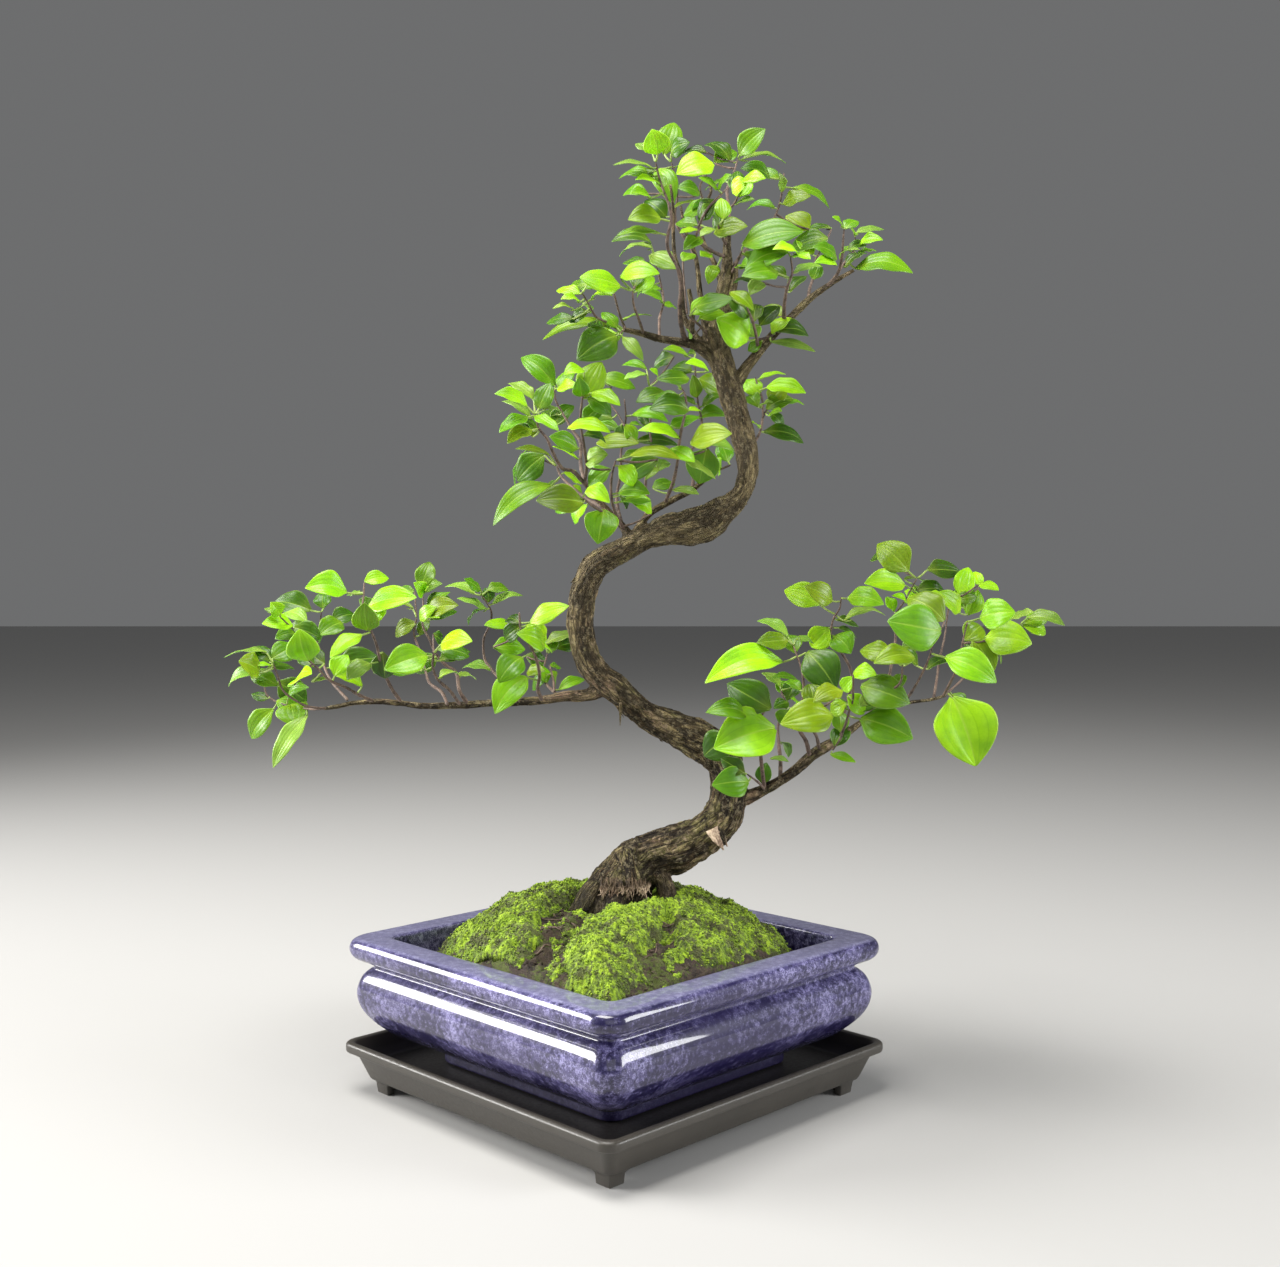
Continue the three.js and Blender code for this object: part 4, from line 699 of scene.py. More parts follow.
# Cushions of moss: node, rise above the soil, and the (u, v, radius) rounds that run together.
# A fourth number weakens a round.
mossPatches = {
    "mossLeft": ("moss_left", 8.5, [
        (-76, 2, 17), (-64, -14, 18), (-57, 10, 22), (-44, 20, 22), (-42, 2, 20), (-50, -24, 17),
        (-32, 6, 15), (-24, 22, 18), (-52, 30, 20), (-12, 30, 20), (-34, 42, 18), (-64, -34, 12, 0.8),
        (-40, -11, 11), (-10, 48, 16), (-50, -42, 13, 0.9), (-41, -47, 10, 0.8), (-47, -60, 11, 0.5),
        (-57, -50, 12, 0.7),
    ]),
    "mossFront": ("moss_front", 9.5, [
        (3, -36, 12), (-1, -47, 16), (-7, -62, 16), (-5, -78, 15), (-1, -92, 12), (13, -33, 11),
        (11, -44, 15), (6, -60, 15), (22, -22, 10), (-2, -101, 9), (-12, -76, 12), (-11, -89, 11),
        (6, -80, 10),
    ]),
    "mossRight": ("moss_right", 8.5, [
        (30, 2, 19), (42, -8, 18), (55, 2, 21), (68, 4, 18), (81, 3, 13), (45, -26, 14), (59, -20, 16),
        (30, -14, 11), (36, 22, 20), (56, 26, 20), (20, 34, 18), (74, -12, 13), (20, 14, 14), (40, 42, 17),
        (33, -27, 11, 0.5), (60, -34, 11, 0.5),
    ]),
    "mossSmall": ("moss_small", 7.0, [
        (46, -50, 12, 1.2), (37, -46, 9), (55, -46, 9), (47, -60, 9), (38, -57, 9), (28, -68, 8, 0.4),
    ]),
}
# Washed-out hollows in the soil: (u, v, radius, depth).
hollows = [(3, -20, 16, 6), (-14, -30, 13, 4.5), (-22, -47, 12, 4.5), (-29, -64, 11, 3.5), (-30, -25, 9, 3),
           (24, -50, 10, 3.5), (26, -38, 7, 3), (18, -84, 9, 2.5)]
moss = {
    # The step between its points, its loose crumbs to a square millimetre, and how torn and bare it is.
    "step": 0.85, "crumbs": 0.62, "edge": 0.028, "ragged": 0.26, "bare": 0.55, "thickness": 2.5,
    # How fast a cushion fills out, how deep its edge sinks, and how high it swells and crumbles.
    "plump": 2.4, "sink": 2.2, "swell": 3.6, "crumble": 0.95,
}


def mossField(rounds, u, v):
    field = 0.0
    for cu, cv, radius, *weight in rounds:
        near = max(0, 1 - ((u - cu) ** 2 + (v - cv) ** 2) / (radius * 1.12) ** 2)
        field += near ** 2 * (weight[0] if weight else 1)
    return field


def bumpy(point, seed, size, detail=2):
    return noise.fractal(Vector((point[0] / size, point[1] / size, seed)), 1.0, 2.1, detail)


def soilBump(u, v):
    dip = 0
    for cu, cv, radius, depth in hollows:
        dip += depth * max(0, 1 - ((u - cu) ** 2 + (v - cv) ** 2) / radius ** 2) ** 2
    return bumpy((u, v), 3.1, 17) * 2.0 + bumpy((u, v), 8.7, 5.0, 4) * 1.9 - dip


# A heap of little deformed lumps of a few faces each; places is a list of (point, size, tint).
def addLumps(name, places, material, stretch=(0.6, 1.3)):
    meshes = []
    for start in range(0, len(places), 90):
        bm = bmesh.new()
        tint = bm.verts.layers.float.new("tint")
        for point, size, shade in places[start:start + 90]:
            turn = Quaternion([rng.gauss(0, 1) for part in range(4)]).normalized().to_matrix().to_4x4()
            scale = Matrix.Diagonal([size * rng.uniform(*stretch) for way in range(3)] + [1])
            where = Matrix.Translation(point) @ turn @ scale
            made = bmesh.ops.create_icosphere(bm, subdivisions=1, radius=1, matrix=where)
            for vert in made["verts"]:
                vert[tint] = shade
        mesh = bpy.data.meshes.new(name)
        bm.to_mesh(mesh)
        bm.free()
        meshes.append(mesh)
    whole = bmesh.new()
    for mesh in meshes:
        whole.from_mesh(mesh)
        bpy.data.meshes.remove(mesh)
    return finishPiece(name, whole, [material])


def toWorld(u, v, z):
    return potCentre + Vector((u, v, z)) * mm


def makeGround():
    bm = bmesh.new()
    tint = bm.verts.layers.float.new("tint")
    half, corner = ground["half"], ground["corner"]
    bmesh.ops.create_grid(bm, x_segments=ground["steps"], y_segments=ground["steps"], size=half)
    for vert in bm.verts:
        x, y = vert.co.x, vert.co.y
        # Round the corners of the bed like the pot's.
        over = max(0, abs(x) - (half - corner)), max(0, abs(y) - (half - corner))
        far = math.hypot(*over)
        if far > corner:
            x = math.copysign(half - corner + over[0] * corner / far, x)
            y = math.copysign(half - corner + over[1] * corner / far, y)
        u, v = (x - y) * math.sqrt(0.5), (x + y) * math.sqrt(0.5)
        vert.co = toWorld(u, v, groundHeight(u, v) + soilBump(u, v))
        vert[tint] = max(0.0, bumpy((u, v), 5.5, 9)) * 0.5
    edges = [e for e in bm.edges if e.is_boundary]
    shareBefore = 1.0
    for z, share in ground["sides"]:
        made = bmesh.ops.extrude_edge_only(bm, edges=edges)["geom"]
        for vert in (g for g in made if isinstance(g, bmesh.types.BMVert)):
            away = (vert.co - potCentre) / shareBefore
            vert.co = Vector((potCentre.x + away.x * share, potCentre.y + away.y * share, z * mm))
        edges = [g for g in made if isinstance(g, bmesh.types.BMEdge) and g.is_boundary]
        shareBefore = share
    bmesh.ops.edgeloop_fill(bm, edges=edges)
    bmesh.ops.recalc_face_normals(bm, faces=bm.faces)
    return finishPiece("soilBed", bm, [soilBrown], ["soil"])


def makeMossPatch(name, node, rise, rounds, seed):
    us, vs = [r[0] for r in rounds], [r[1] for r in rounds]
    reach = 1.15 * max(r[2] for r in rounds)
    lowU, highU, lowV, highV = min(us) - reach, max(us) + reach, min(vs) - reach, max(vs) + reach
    columns, rows = round((highU - lowU) / moss["step"]), round((highV - lowV) / moss["step"])
    bm = bmesh.new()
    tint = bm.verts.layers.float.new("tint")
    bmesh.ops.create_grid(bm, x_segments=columns, y_segments=rows, size=0.5)
    gone = []
    for vert in bm.verts:
        u, v = lowU + (vert.co.x + 0.5) * (highU - lowU), lowV + (vert.co.y + 0.5) * (highV - lowV)
        torn = bumpy((u, v), seed, 7.5, 4) * moss["ragged"]
        worn = min(0, bumpy((u, v), seed + 2, 13, 3) + 0.08) * moss["bare"]
        edge = (ground["half"] - 0.6 - max(abs(u + v), abs(u - v)) * math.sqrt(0.5)) / 1.6
        field = (mossField(rounds, u, v) + (torn + worn)) * clamped(edge)
        if field < moss["edge"]:
            gone.append(vert)
        full = 1 - math.exp(-moss["plump"] * max(0, field))
        crumbs = bumpy((u, v), seed + 4, 1.9, 3)
        z = groundHeight(u, v) + soilBump(u, v) * 0.6
        swell = bumpy((u, v), seed + 9, 12, 4)
        z += (-moss["sink"] + (rise + moss["sink"]) * full + swell * moss["swell"] * full
              + crumbs * moss["crumble"] * full)
        vert.co = toWorld(u, v, z)
        # The tint follows the same noises as the height, for painted shade in the hollows and painted light
        # on the tops.
        vert[tint] = clamped(0.5 + crumbs * 0.75 + swell * 0.3)
    bmesh.ops.delete(bm, geom=gone, context="VERTS")
    # Where the edge meets itself in one vertex, the vertex goes, until none is left.
    while gone:
        gone = [v for v in bm.verts if not v.link_faces or sum(e.is_boundary for e in v.link_edges) > 2]
        bmesh.ops.delete(bm, geom=gone, context="VERTS")
    bmesh.ops.recalc_face_normals(bm, faces=bm.faces)
    if sum(f.normal.z for f in bm.faces) < 0:
        bmesh.ops.reverse_faces(bm, faces=bm.faces)
    surface = [(f.calc_center_median(), f.normal.copy()) for f in bm.faces]
    under = bmesh.ops.extrude_face_region(bm, geom=bm.faces[:], use_keep_orig=True)["geom"]
    for vert in (g for g in under if isinstance(g, bmesh.types.BMVert)):
        vert.co.z -= moss["thickness"] * mm
    bmesh.ops.recalc_face_normals(bm, faces=bm.faces)
    finishPiece(name, bm, [mossGreen], [node])
    crumbs = []
    for at, normal in surface:
        if rng.random() < moss["crumbs"] * moss["step"] ** 2:
            jitter = Vector((rng.uniform(-0.5, 0.5), rng.uniform(-0.5, 0.5), 0)) * mm
            crumbs.append((at + jitter + normal * rng.uniform(0.0, 0.45) * mm, rng.uniform(0.3, 0.62) * mm,
                           clamped(rng.gauss(0.6, 0.26))))
    addLumps(name + "Crumbs", crumbs, mossGreen)
    return len(crumbs)


def makeLitter():
    places, within = [], ground["within"]
    while len(places) < ground["chips"]:
        x, y = rng.uniform(-within, within), rng.uniform(-within, within)
        u, v = (x - y) * math.sqrt(0.5), (x + y) * math.sqrt(0.5)
        z = groundHeight(u, v) + soilBump(u, v)
        places.append((toWorld(u, v, z + 0.2), rng.choice(ground["chipSizes"]) * mm, rng.random() ** 2))
    addLumps("soilGrit", places, soilBrown, (0.5, 1.5))
    # Old roots and fibres lying on the soil.
    bm = bmesh.new()
    for strand in range(ground["strands"]):
        angle = rng.uniform(0, math.tau)
        u = (ground["nearest"] + ground["ring"] * rng.random()) * math.cos(angle)
        v = (ground["nearest"] + ground["ring"] * rng.random()) * math.sin(angle)
        if v > 30:
            v = -v
        heading, points = rng.uniform(0, math.tau), []
        for step in range(rng.randint(4, 7)):
            z = groundHeight(u, v) + soilBump(u, v)
            points.append(toWorld(u, v, z + 0.25 + 0.5 * rng.random()))
            heading += rng.uniform(-0.6, 0.6)
            u, v = u + ground["stride"] * math.cos(heading), v + ground["stride"] * math.sin(heading)
            x, y = (u + v) * math.sqrt(0.5), (v - u) * math.sqrt(0.5)
            if max(abs(x), abs(y)) > within:
                break
        if len(points) > 2:
            thick = rng.uniform(0.3, 0.75) * mm
            radii = [thick * (1 - 0.6 * i / len(points)) for i in range(len(points))]
            addTube(bm, points, radii, 5, 1.5 * mm, knob=0.25)
    finishPiece("soilRoots", bm, [twigBark])


makeGround()
makeLitter()
crumbCount = 0
for seed, (name, patch) in enumerate(mossPatches.items(), 20):
    crumbCount += makeMossPatch(name, *patch, seed)
print("stage: soil and moss made,", crumbCount, "crumbs")


# Centre line of the trunk: x, z on the front elevation, depth, radius.
trunkLine = [
    (3, 90, 2, 21), (3, 100, 2, 19), (8, 113, 1, 15), (20, 123, -1, 12.3), (34, 127.5, -3, 12),
    (47, 134.5, -3, 10.6), (56, 144, -1, 9.4), (58.6, 157, 0, 9), (57, 169, 2, 9.6), (49.5, 178.5, 4, 10),
    (40.5, 184, 5, 10), (30.5, 188.5, 6, 8.8), (18, 194.5, 7, 7.2), (8.5, 201.5, 7, 6.8),
    (-1, 210, 7, 7.2), (-9.5, 217.5, 8, 7.2), (-15, 227.5, 8, 7.2), (-17.2, 240, 8, 6.9),
    (-16.8, 250, 8, 6.8), (-15, 260, 7, 6.9), (-10.5, 270, 5, 7.2), (-3, 276, 4, 7), (5, 280, 3, 6.2),
    (12.5, 284, 1, 5.7), (20.5, 287.5, -1, 6.8), (29, 290, -3, 8.4), (38.5, 291, -4, 9.2),
    (47, 293.5, -4, 8.8), (54, 298.5, -4, 7.4), (60.5, 303, -4, 6), (65, 308.5, -4, 5), (67.4, 316, -3, 5),
    (68, 325, -3, 5.8), (66, 335, -2, 6), (62.5, 347, -1, 6.3), (59.5, 358, 0, 6.4), (56, 369, 0, 6),
    (53.2, 381, 0, 5.4), (53, 395, 0, 4.6), (55, 408, 0, 3.8), (57, 420, 0, 3.2), (57.2, 432, 0, 2.3),
    (57.8, 444, 1, 1.4),
]
# Limbs and roots that grew with it, in the same terms.
limbs = {
    "left": [
        (-3, 209, 7, 4), (-13, 205.8, 8, 3.7), (-25, 204.8, 8, 2.9), (-37, 203, 8, 2.3),
        (-50, 202.2, 8, 2.3), (-65, 201.3, 7, 2.1), (-80, 200.3, 6, 2), (-98, 200, 5, 1.7),
        (-110, 201.5, 4, 1.6), (-121, 202.3, 3, 1.5), (-133, 201.5, 3, 1.2), (-141, 199.8, 2, 1.1),
        (-148, 198.7, 2, 0.9),
    ],
    "right": [
        (57, 152, 0, 5), (66, 152.5, 0, 4), (75, 156, 0, 3), (83, 160.5, -1, 2.8), (92, 166.5, -1, 2.7),
        (101, 174.3, -2, 3), (110, 180.3, -3, 2.7), (118, 185.5, -3, 2), (126, 191.5, -3, 1.5),
        (133, 197, -3, 1.2), (142, 200.3, -2, 1.1), (152, 202, -1, 0.9), (162, 203.3, -1, 0.8),
        (169, 205.3, 0, 0.7),
    ],
    "middleLeft": [
        (9, 284, 2, 3), (5, 290.5, 4, 2.2), (-1, 297, 5, 1.9), (-8, 305, 6, 1.7), (-14, 311.5, 6, 1.5),
    ],
    "middleRight": [
        (9, 284, 0, 2.6), (13, 292, 2, 1.9), (20, 299.5, 2, 1.7), (30, 305, 2, 1.6), (39, 309.5, 2, 1.4),
        (47, 316, 1, 1.2),
    ],
    "crownLeft": [
        (53, 372, 0, 4), (47, 380.5, 0, 3.4), (40, 383.3, 0, 2.8), (31, 384.8, 0, 2.1),
        (22, 386.3, 0, 1.9), (14, 388.7, 0, 1.6), (6, 390.4, 0, 1.2), (1, 391.2, 0, 0.9),
    ],
    "crownBack": [
        (53, 374, 2, 3.6), (48, 386, 2, 2.8), (45.3, 400, 2, 2.3), (43.5, 404, 2, 1.6),
    ],
    "crownLeftStem": [
        (50, 376, 0, 3), (42, 382, 0, 2.4), (36, 386, 0, 1.8),
    ],
    "crownFront": [
        (54, 376, -1, 3.2), (50.5, 386, -4, 2.4), (47.5, 392, -5, 1.6),
    ],
    "crownRight": [
        (60, 361, 0, 4.4), (66, 370, 0, 3.2), (72, 378, 0, 2.6), (79, 386.5, 0, 2.4), (86, 393.5, 0, 2.2),
        (93, 400.5, 0, 2), (100, 407, 0, 1.7), (108, 412.6, 0, 1.4), (115, 417, -1, 1.1),
        (121, 420.3, -2, 0.8),
    ],
    "crownPink": [
        (57, 400, -1, 2.6), (59.5, 408, -2, 2.2), (61, 416, -2, 1.7), (61.5, 423, -2, 1.1),
    ],
    "shortStub": [
        (39, 386, -3, 1.6), (39.5, 400, -5, 1.3), (37.8, 411, -6, 1),
    ],
    "rootRight": [
        (20, 118, -6, 6), (25.5, 109, -8, 4.6), (28, 98, -9, 5), (31, 88, -10, 4),
    ],
    "rootLeft": [
        (-3, 112, -2, 8), (-13, 101, -6, 6), (-21, 92, -10, 4),
    ],
    "rootFront": [
        (4, 110, -6, 7), (1, 99, -16, 5), (-3, 90, -25, 3.6),
    ],
    "rootBack": [
        (6, 110, 8, 8), (12, 97, 18, 6), (18, 87, 28, 4),
    ],
    "brokenStub": [
        (50, 139, -7, 4.4), (54.5, 132.5, -12, 3), (56.5, 128.5, -14, 1),
    ],
    # Roots at the foot, and slim stems of the crown that are finer than the CAD's.
    "footFront": [
        (7, 126, -5, 7.5), (10, 113, -8, 7), (12, 104, -8, 5.5), (13, 94, -7, 4),
    ],
    "footLeft": [
        (-2, 113, -2, 6), (-11, 103, -6, 7), (-16, 94, -8, 7),
    ],
    "stemLeft": [
        (46, 378, 1, 1.9), (43.7, 384, 3, 1.7), (35.5, 396.6, 5, 1.5), (33.6, 416.9, 6, 1.2),
        (30.4, 429.7, 6, 1), (29.7, 452.6, 7, 0.8), (28.5, 463, 7, 0.6),
    ],
    "stemMiddle": [
        (50, 380, -1, 1.9), (46, 392, 1, 1.7), (43.7, 406.8, 3, 1.4), (41.2, 427.1, 4, 1.1),
        (36.1, 439.8, 5, 0.8), (33.6, 452.6, 5, 0.6),
    ],
    "stemRight": [
        (56.5, 401.7, 0, 1.7), (52.4, 420, 3, 1.4), (45, 434.8, 5, 1.1), (43.7, 447.5, 6, 0.9),
        (49, 460.2, 7, 0.7), (44.7, 467.8, 8, 0.5),
    ],
}
trunk = {
    "voxel": 0.00085, "sides": 18, "limbSides": 12, "twigSides": 8,
    "thinBelow": 1.5,      # limbs thinner than this are swept after the remesh
    "ridge": 0.12, "ridgeMost": 0.0012, "lump": 0.17,
}


def woodPoints(rows):
    return [place(x, z, d) for x, z, d, r in rows], [r * mm for x, z, d, r in rows]


# Every sample of the wood's centre lines: its place, its two side ways, radius and distance from the start.
def woodSamples():
    samples = []
    for order, rows in enumerate([trunkLine, *limbs.values()]):
        line, sizes = smoothLine(*woodPoints(rows), 0.0015)
        run = order * 0.37
        for i, (side, front) in enumerate(lineFrames(line)):
            run += (line[i] - line[i - 1]).length if i else 0
            samples.append((*line[i], *side, *front, sizes[i], run))
    return np.array(samples)


# Gives the wood the coordinates that its grain follows and marks its hollows for painted shade; moved shapes
# its ridges too.
def barkLayers(mesh, moved):
    samples = woodSamples()
    places = np.array([v.co for v in mesh.vertices])
    normals = np.array([v.normal for v in mesh.vertices])
    best = np.full(len(places), 1e9)
    nearest = np.zeros(len(places), int)
    for i, sample in enumerate(samples):
        away = np.linalg.norm(places - sample[:3], axis=1) - sample[9]
        closer = away < best
        best[closer], nearest[closer] = away[closer], i
    found = samples[nearest]
    out = places - found[:, :3]
    size = np.maximum(np.linalg.norm(out, axis=1), 1e-5)
    cosine, sine = (out * found[:, 3:6]).sum(1) / size, (out * found[:, 6:9]).sum(1) / size
    radius = found[:, 9]
    coords = np.stack([cosine * radius, sine * radius, found[:, 10] * 0.42], 1)
    hollow = np.zeros(len(places), np.float32)
    for i, (grain, at) in enumerate(zip(coords, places)):
        thick = radius[i]
        ridges = noise.noise(Vector(grain) * 260) * 0.6 + noise.noise(Vector(grain) * 620) * 0.4
        lumps = noise.noise(Vector(at) * 75) * 0.7
        lumps += noise.noise(Vector(at) * 160 + Vector((7, 1, 3))) * 0.45
        relief = min(trunk["ridgeMost"], thick * trunk["ridge"]) * ridges * 1.5
        depth = relief + thick * trunk["lump"] * lumps
        hollow[i] = clamped(0.5 - ridges * 0.9)
        if moved:
            mesh.vertices[i].co = Vector(at) + Vector(normals[i]) * depth
    layer = mesh.attributes.new("barkCoord", "FLOAT_VECTOR", "POINT")
    layer.data.foreach_set("vector", coords.astype(np.float32).ravel())
    mesh.attributes.new("hollow", "FLOAT", "POINT").data.foreach_set("value", hollow)


def makeTrunk():
    thick, thin = bmesh.new(), bmesh.new()
    addTube(thick, *woodPoints(trunkLine), trunk["sides"], 0.0022)
    for rows in limbs.values():
        stout = [i for i, row in enumerate(rows) if row[3] >= trunk["thinBelow"]]
        last = stout[-1]
        if last > 0:
            addTube(thick, *woodPoints(rows[:last + 1]), trunk["limbSides"], 0.0018)
        if last < len(rows) - 1:
            addTube(thin, *woodPoints(rows[max(0, last - 1):]), trunk["twigSides"], 0.0016, knob=0.12)
    mesh = bpy.data.meshes.new("trunkCore")
    thick.to_mesh(mesh)
    thick.free()
    core = bpy.data.objects.new("trunkCore", mesh)
    bpy.context.scene.collection.objects.link(core)
    remesh = core.modifiers.new("skin", "REMESH")
    remesh.mode, remesh.voxel_size = "VOXEL", trunk["voxel"]
    even = core.modifiers.new("even", "SMOOTH")
    even.factor, even.iterations = 0.6, 3
    bpy.context.view_layer.update()
    skin = bpy.data.meshes.new_from_object(core.evaluated_get(bpy.context.evaluated_depsgraph_get()))
    bpy.data.objects.remove(core)
    barkLayers(skin, True)
    wood = bmesh.new()
    wood.from_mesh(skin)
    finishPiece("trunkWood", wood, [bark], ["trunk"])
    fine = bpy.data.meshes.new("limbEnds")
    thin.to_mesh(fine)
    thin.free()
    barkLayers(fine, False)
    ends = bmesh.new()
    ends.from_mesh(fine)
    finishPiece("limbEnds", ends, [bark])


# Frayed fibres round the foot, a torn stub and a thorn as (x, z, depth) pairs with a radius, and loose bark.
scraps = {
    # The fringe follows the front of the foot, which bulges by so much about its middle.
    "fringe": {
        "count": 130, "low": -8, "high": 18, "top": (106, 112), "drop": (3, 7.5),
        "front": -1.4, "bulge": 17.0, "middle": 3, "reach": 19, "thick": (0.14, 0.42),
    },
    "stub": [((50.5, 137, -13), (56, 125.8, -15.5), 3.6), ((48.5, 136, -15), (53.6, 128, -18), 2.4),
             ((54.6, 135, -11), (58, 127.6, -13), 2.2)],
    "thorn": [((3.4, 202, 0), (3, 189.8, -1), 1.2), ((1.4, 200, 1), (5, 194, 2), 0.8)],
    "flakes": 52,
}


def addScrap(bm, a, b, size, squash):
    middle = (a + b) / 2 + Vector((rng.uniform(-0.4, 0.4), 0, rng.uniform(-0.3, 0.3))) * mm
    addTube(bm, [a, middle, b], [size * mm, size * 0.7 * mm, size * 0.15 * mm], 6, 1.2 * mm, knob=0.3,
            squash=squash)


def makeScraps():
    bm = bmesh.new()
    fringe = scraps["fringe"]
    for strand in range(fringe["count"]):
        x = rng.uniform(fringe["low"], fringe["high"])
        top = rng.uniform(*fringe["top"])
        curve = math.sqrt(max(0.05, 1 - ((x - fringe["middle"]) / fringe["reach"]) ** 2))
        depth = fringe["front"] - fringe["bulge"] * curve * rng.uniform(0.93, 1)
        a = place(x, top, depth + 1.5)
        b = place(x + rng.uniform(-0.8, 0.8), top - 3, depth - 0.3)
        c = place(x + rng.uniform(-2, 2), top - rng.uniform(*fringe["drop"]), depth - rng.uniform(0.2, 3))
        size = rng.uniform(*fringe["thick"]) * mm
        addTube(bm, [a, b, c], [size, size * 0.9, size * 0.3], 5, 1.6 * mm, knob=0.2)
    for a, b, size in scraps["stub"]:
        addScrap(bm, place(*a), place(*b), size, 0.55)
    finishPiece("tornFibres", bm, [paleFibre])
    bm = bmesh.new()
    for a, b, size in scraps["thorn"]:
        addScrap(bm, place(*a), place(*b), size, 0.7)
    # Curls of bark that have come loose at one end.
    line, sizes = smoothLine(*woodPoints(trunkLine), 0.004)
    frames = lineFrames(line)
    for flake in range(scraps["flakes"]):
        i = rng.randrange(4, len(line) - 6)
        side, front = frames[i]
        angle = rng.uniform(0, math.tau)
        out = side * math.cos(angle) + front * math.sin(angle)
        along = (line[i + 1] - line[i]).normalized() * rng.choice((-1, 1))
        length = rng.uniform(0.18, 0.5) * sizes[i]
        root = line[i] + out * sizes[i] * 0.93
        tip = root + along * length + out * (rng.uniform(0.06, 0.2) * sizes[i])
        addScrap(bm, root, tip, rng.uniform(0.07, 0.13) * sizes[i] / mm, 0.45)
    finishPiece("looseBark", bm, [bark])


def makeFibre():
    material, tree, shader = newMaterial("tornFibre", Roughness=0.8)
    where = objectCoords(tree)
    spots = fillMottle(tree, where, 130.0, 900.0, 0.5, 0.38, 0.62)
    # The root fibres are bark-brown where they start and bleached at their tips.
    level = levelOf(tree, where)
    ragged = mathNode(tree, "ADD", level, times(tree, spots.outputs["Fine"], 0.006))
    bleached = mathNode(tree, "MAXIMUM", rangeNode(tree, ragged, 0.1115, 0.115, 1.0, 0.0, True),
                        rangeNode(tree, level, 0.118, 0.119))
    brown = mixColour(tree, spots.outputs["Mask"], (0.02, 0.012, 0.007, 1), (0.13, 0.085, 0.045, 1))
    pale = mixColour(tree, spots.outputs["Mask"], (0.15, 0.09, 0.055, 1), (0.62, 0.48, 0.34, 1))
    colour = mixColour(tree, bleached, brown, pale)
    tree.links.new(colour, shader.inputs["Base Color"])
    tree.links.new(bumpNode(tree, spots.outputs["Fine"], 0.6, 0.0004), shader.inputs["Normal"])
    return material


paleFibre = makeFibre()
makeTrunk()
makeScraps()
print("stage: trunk made")


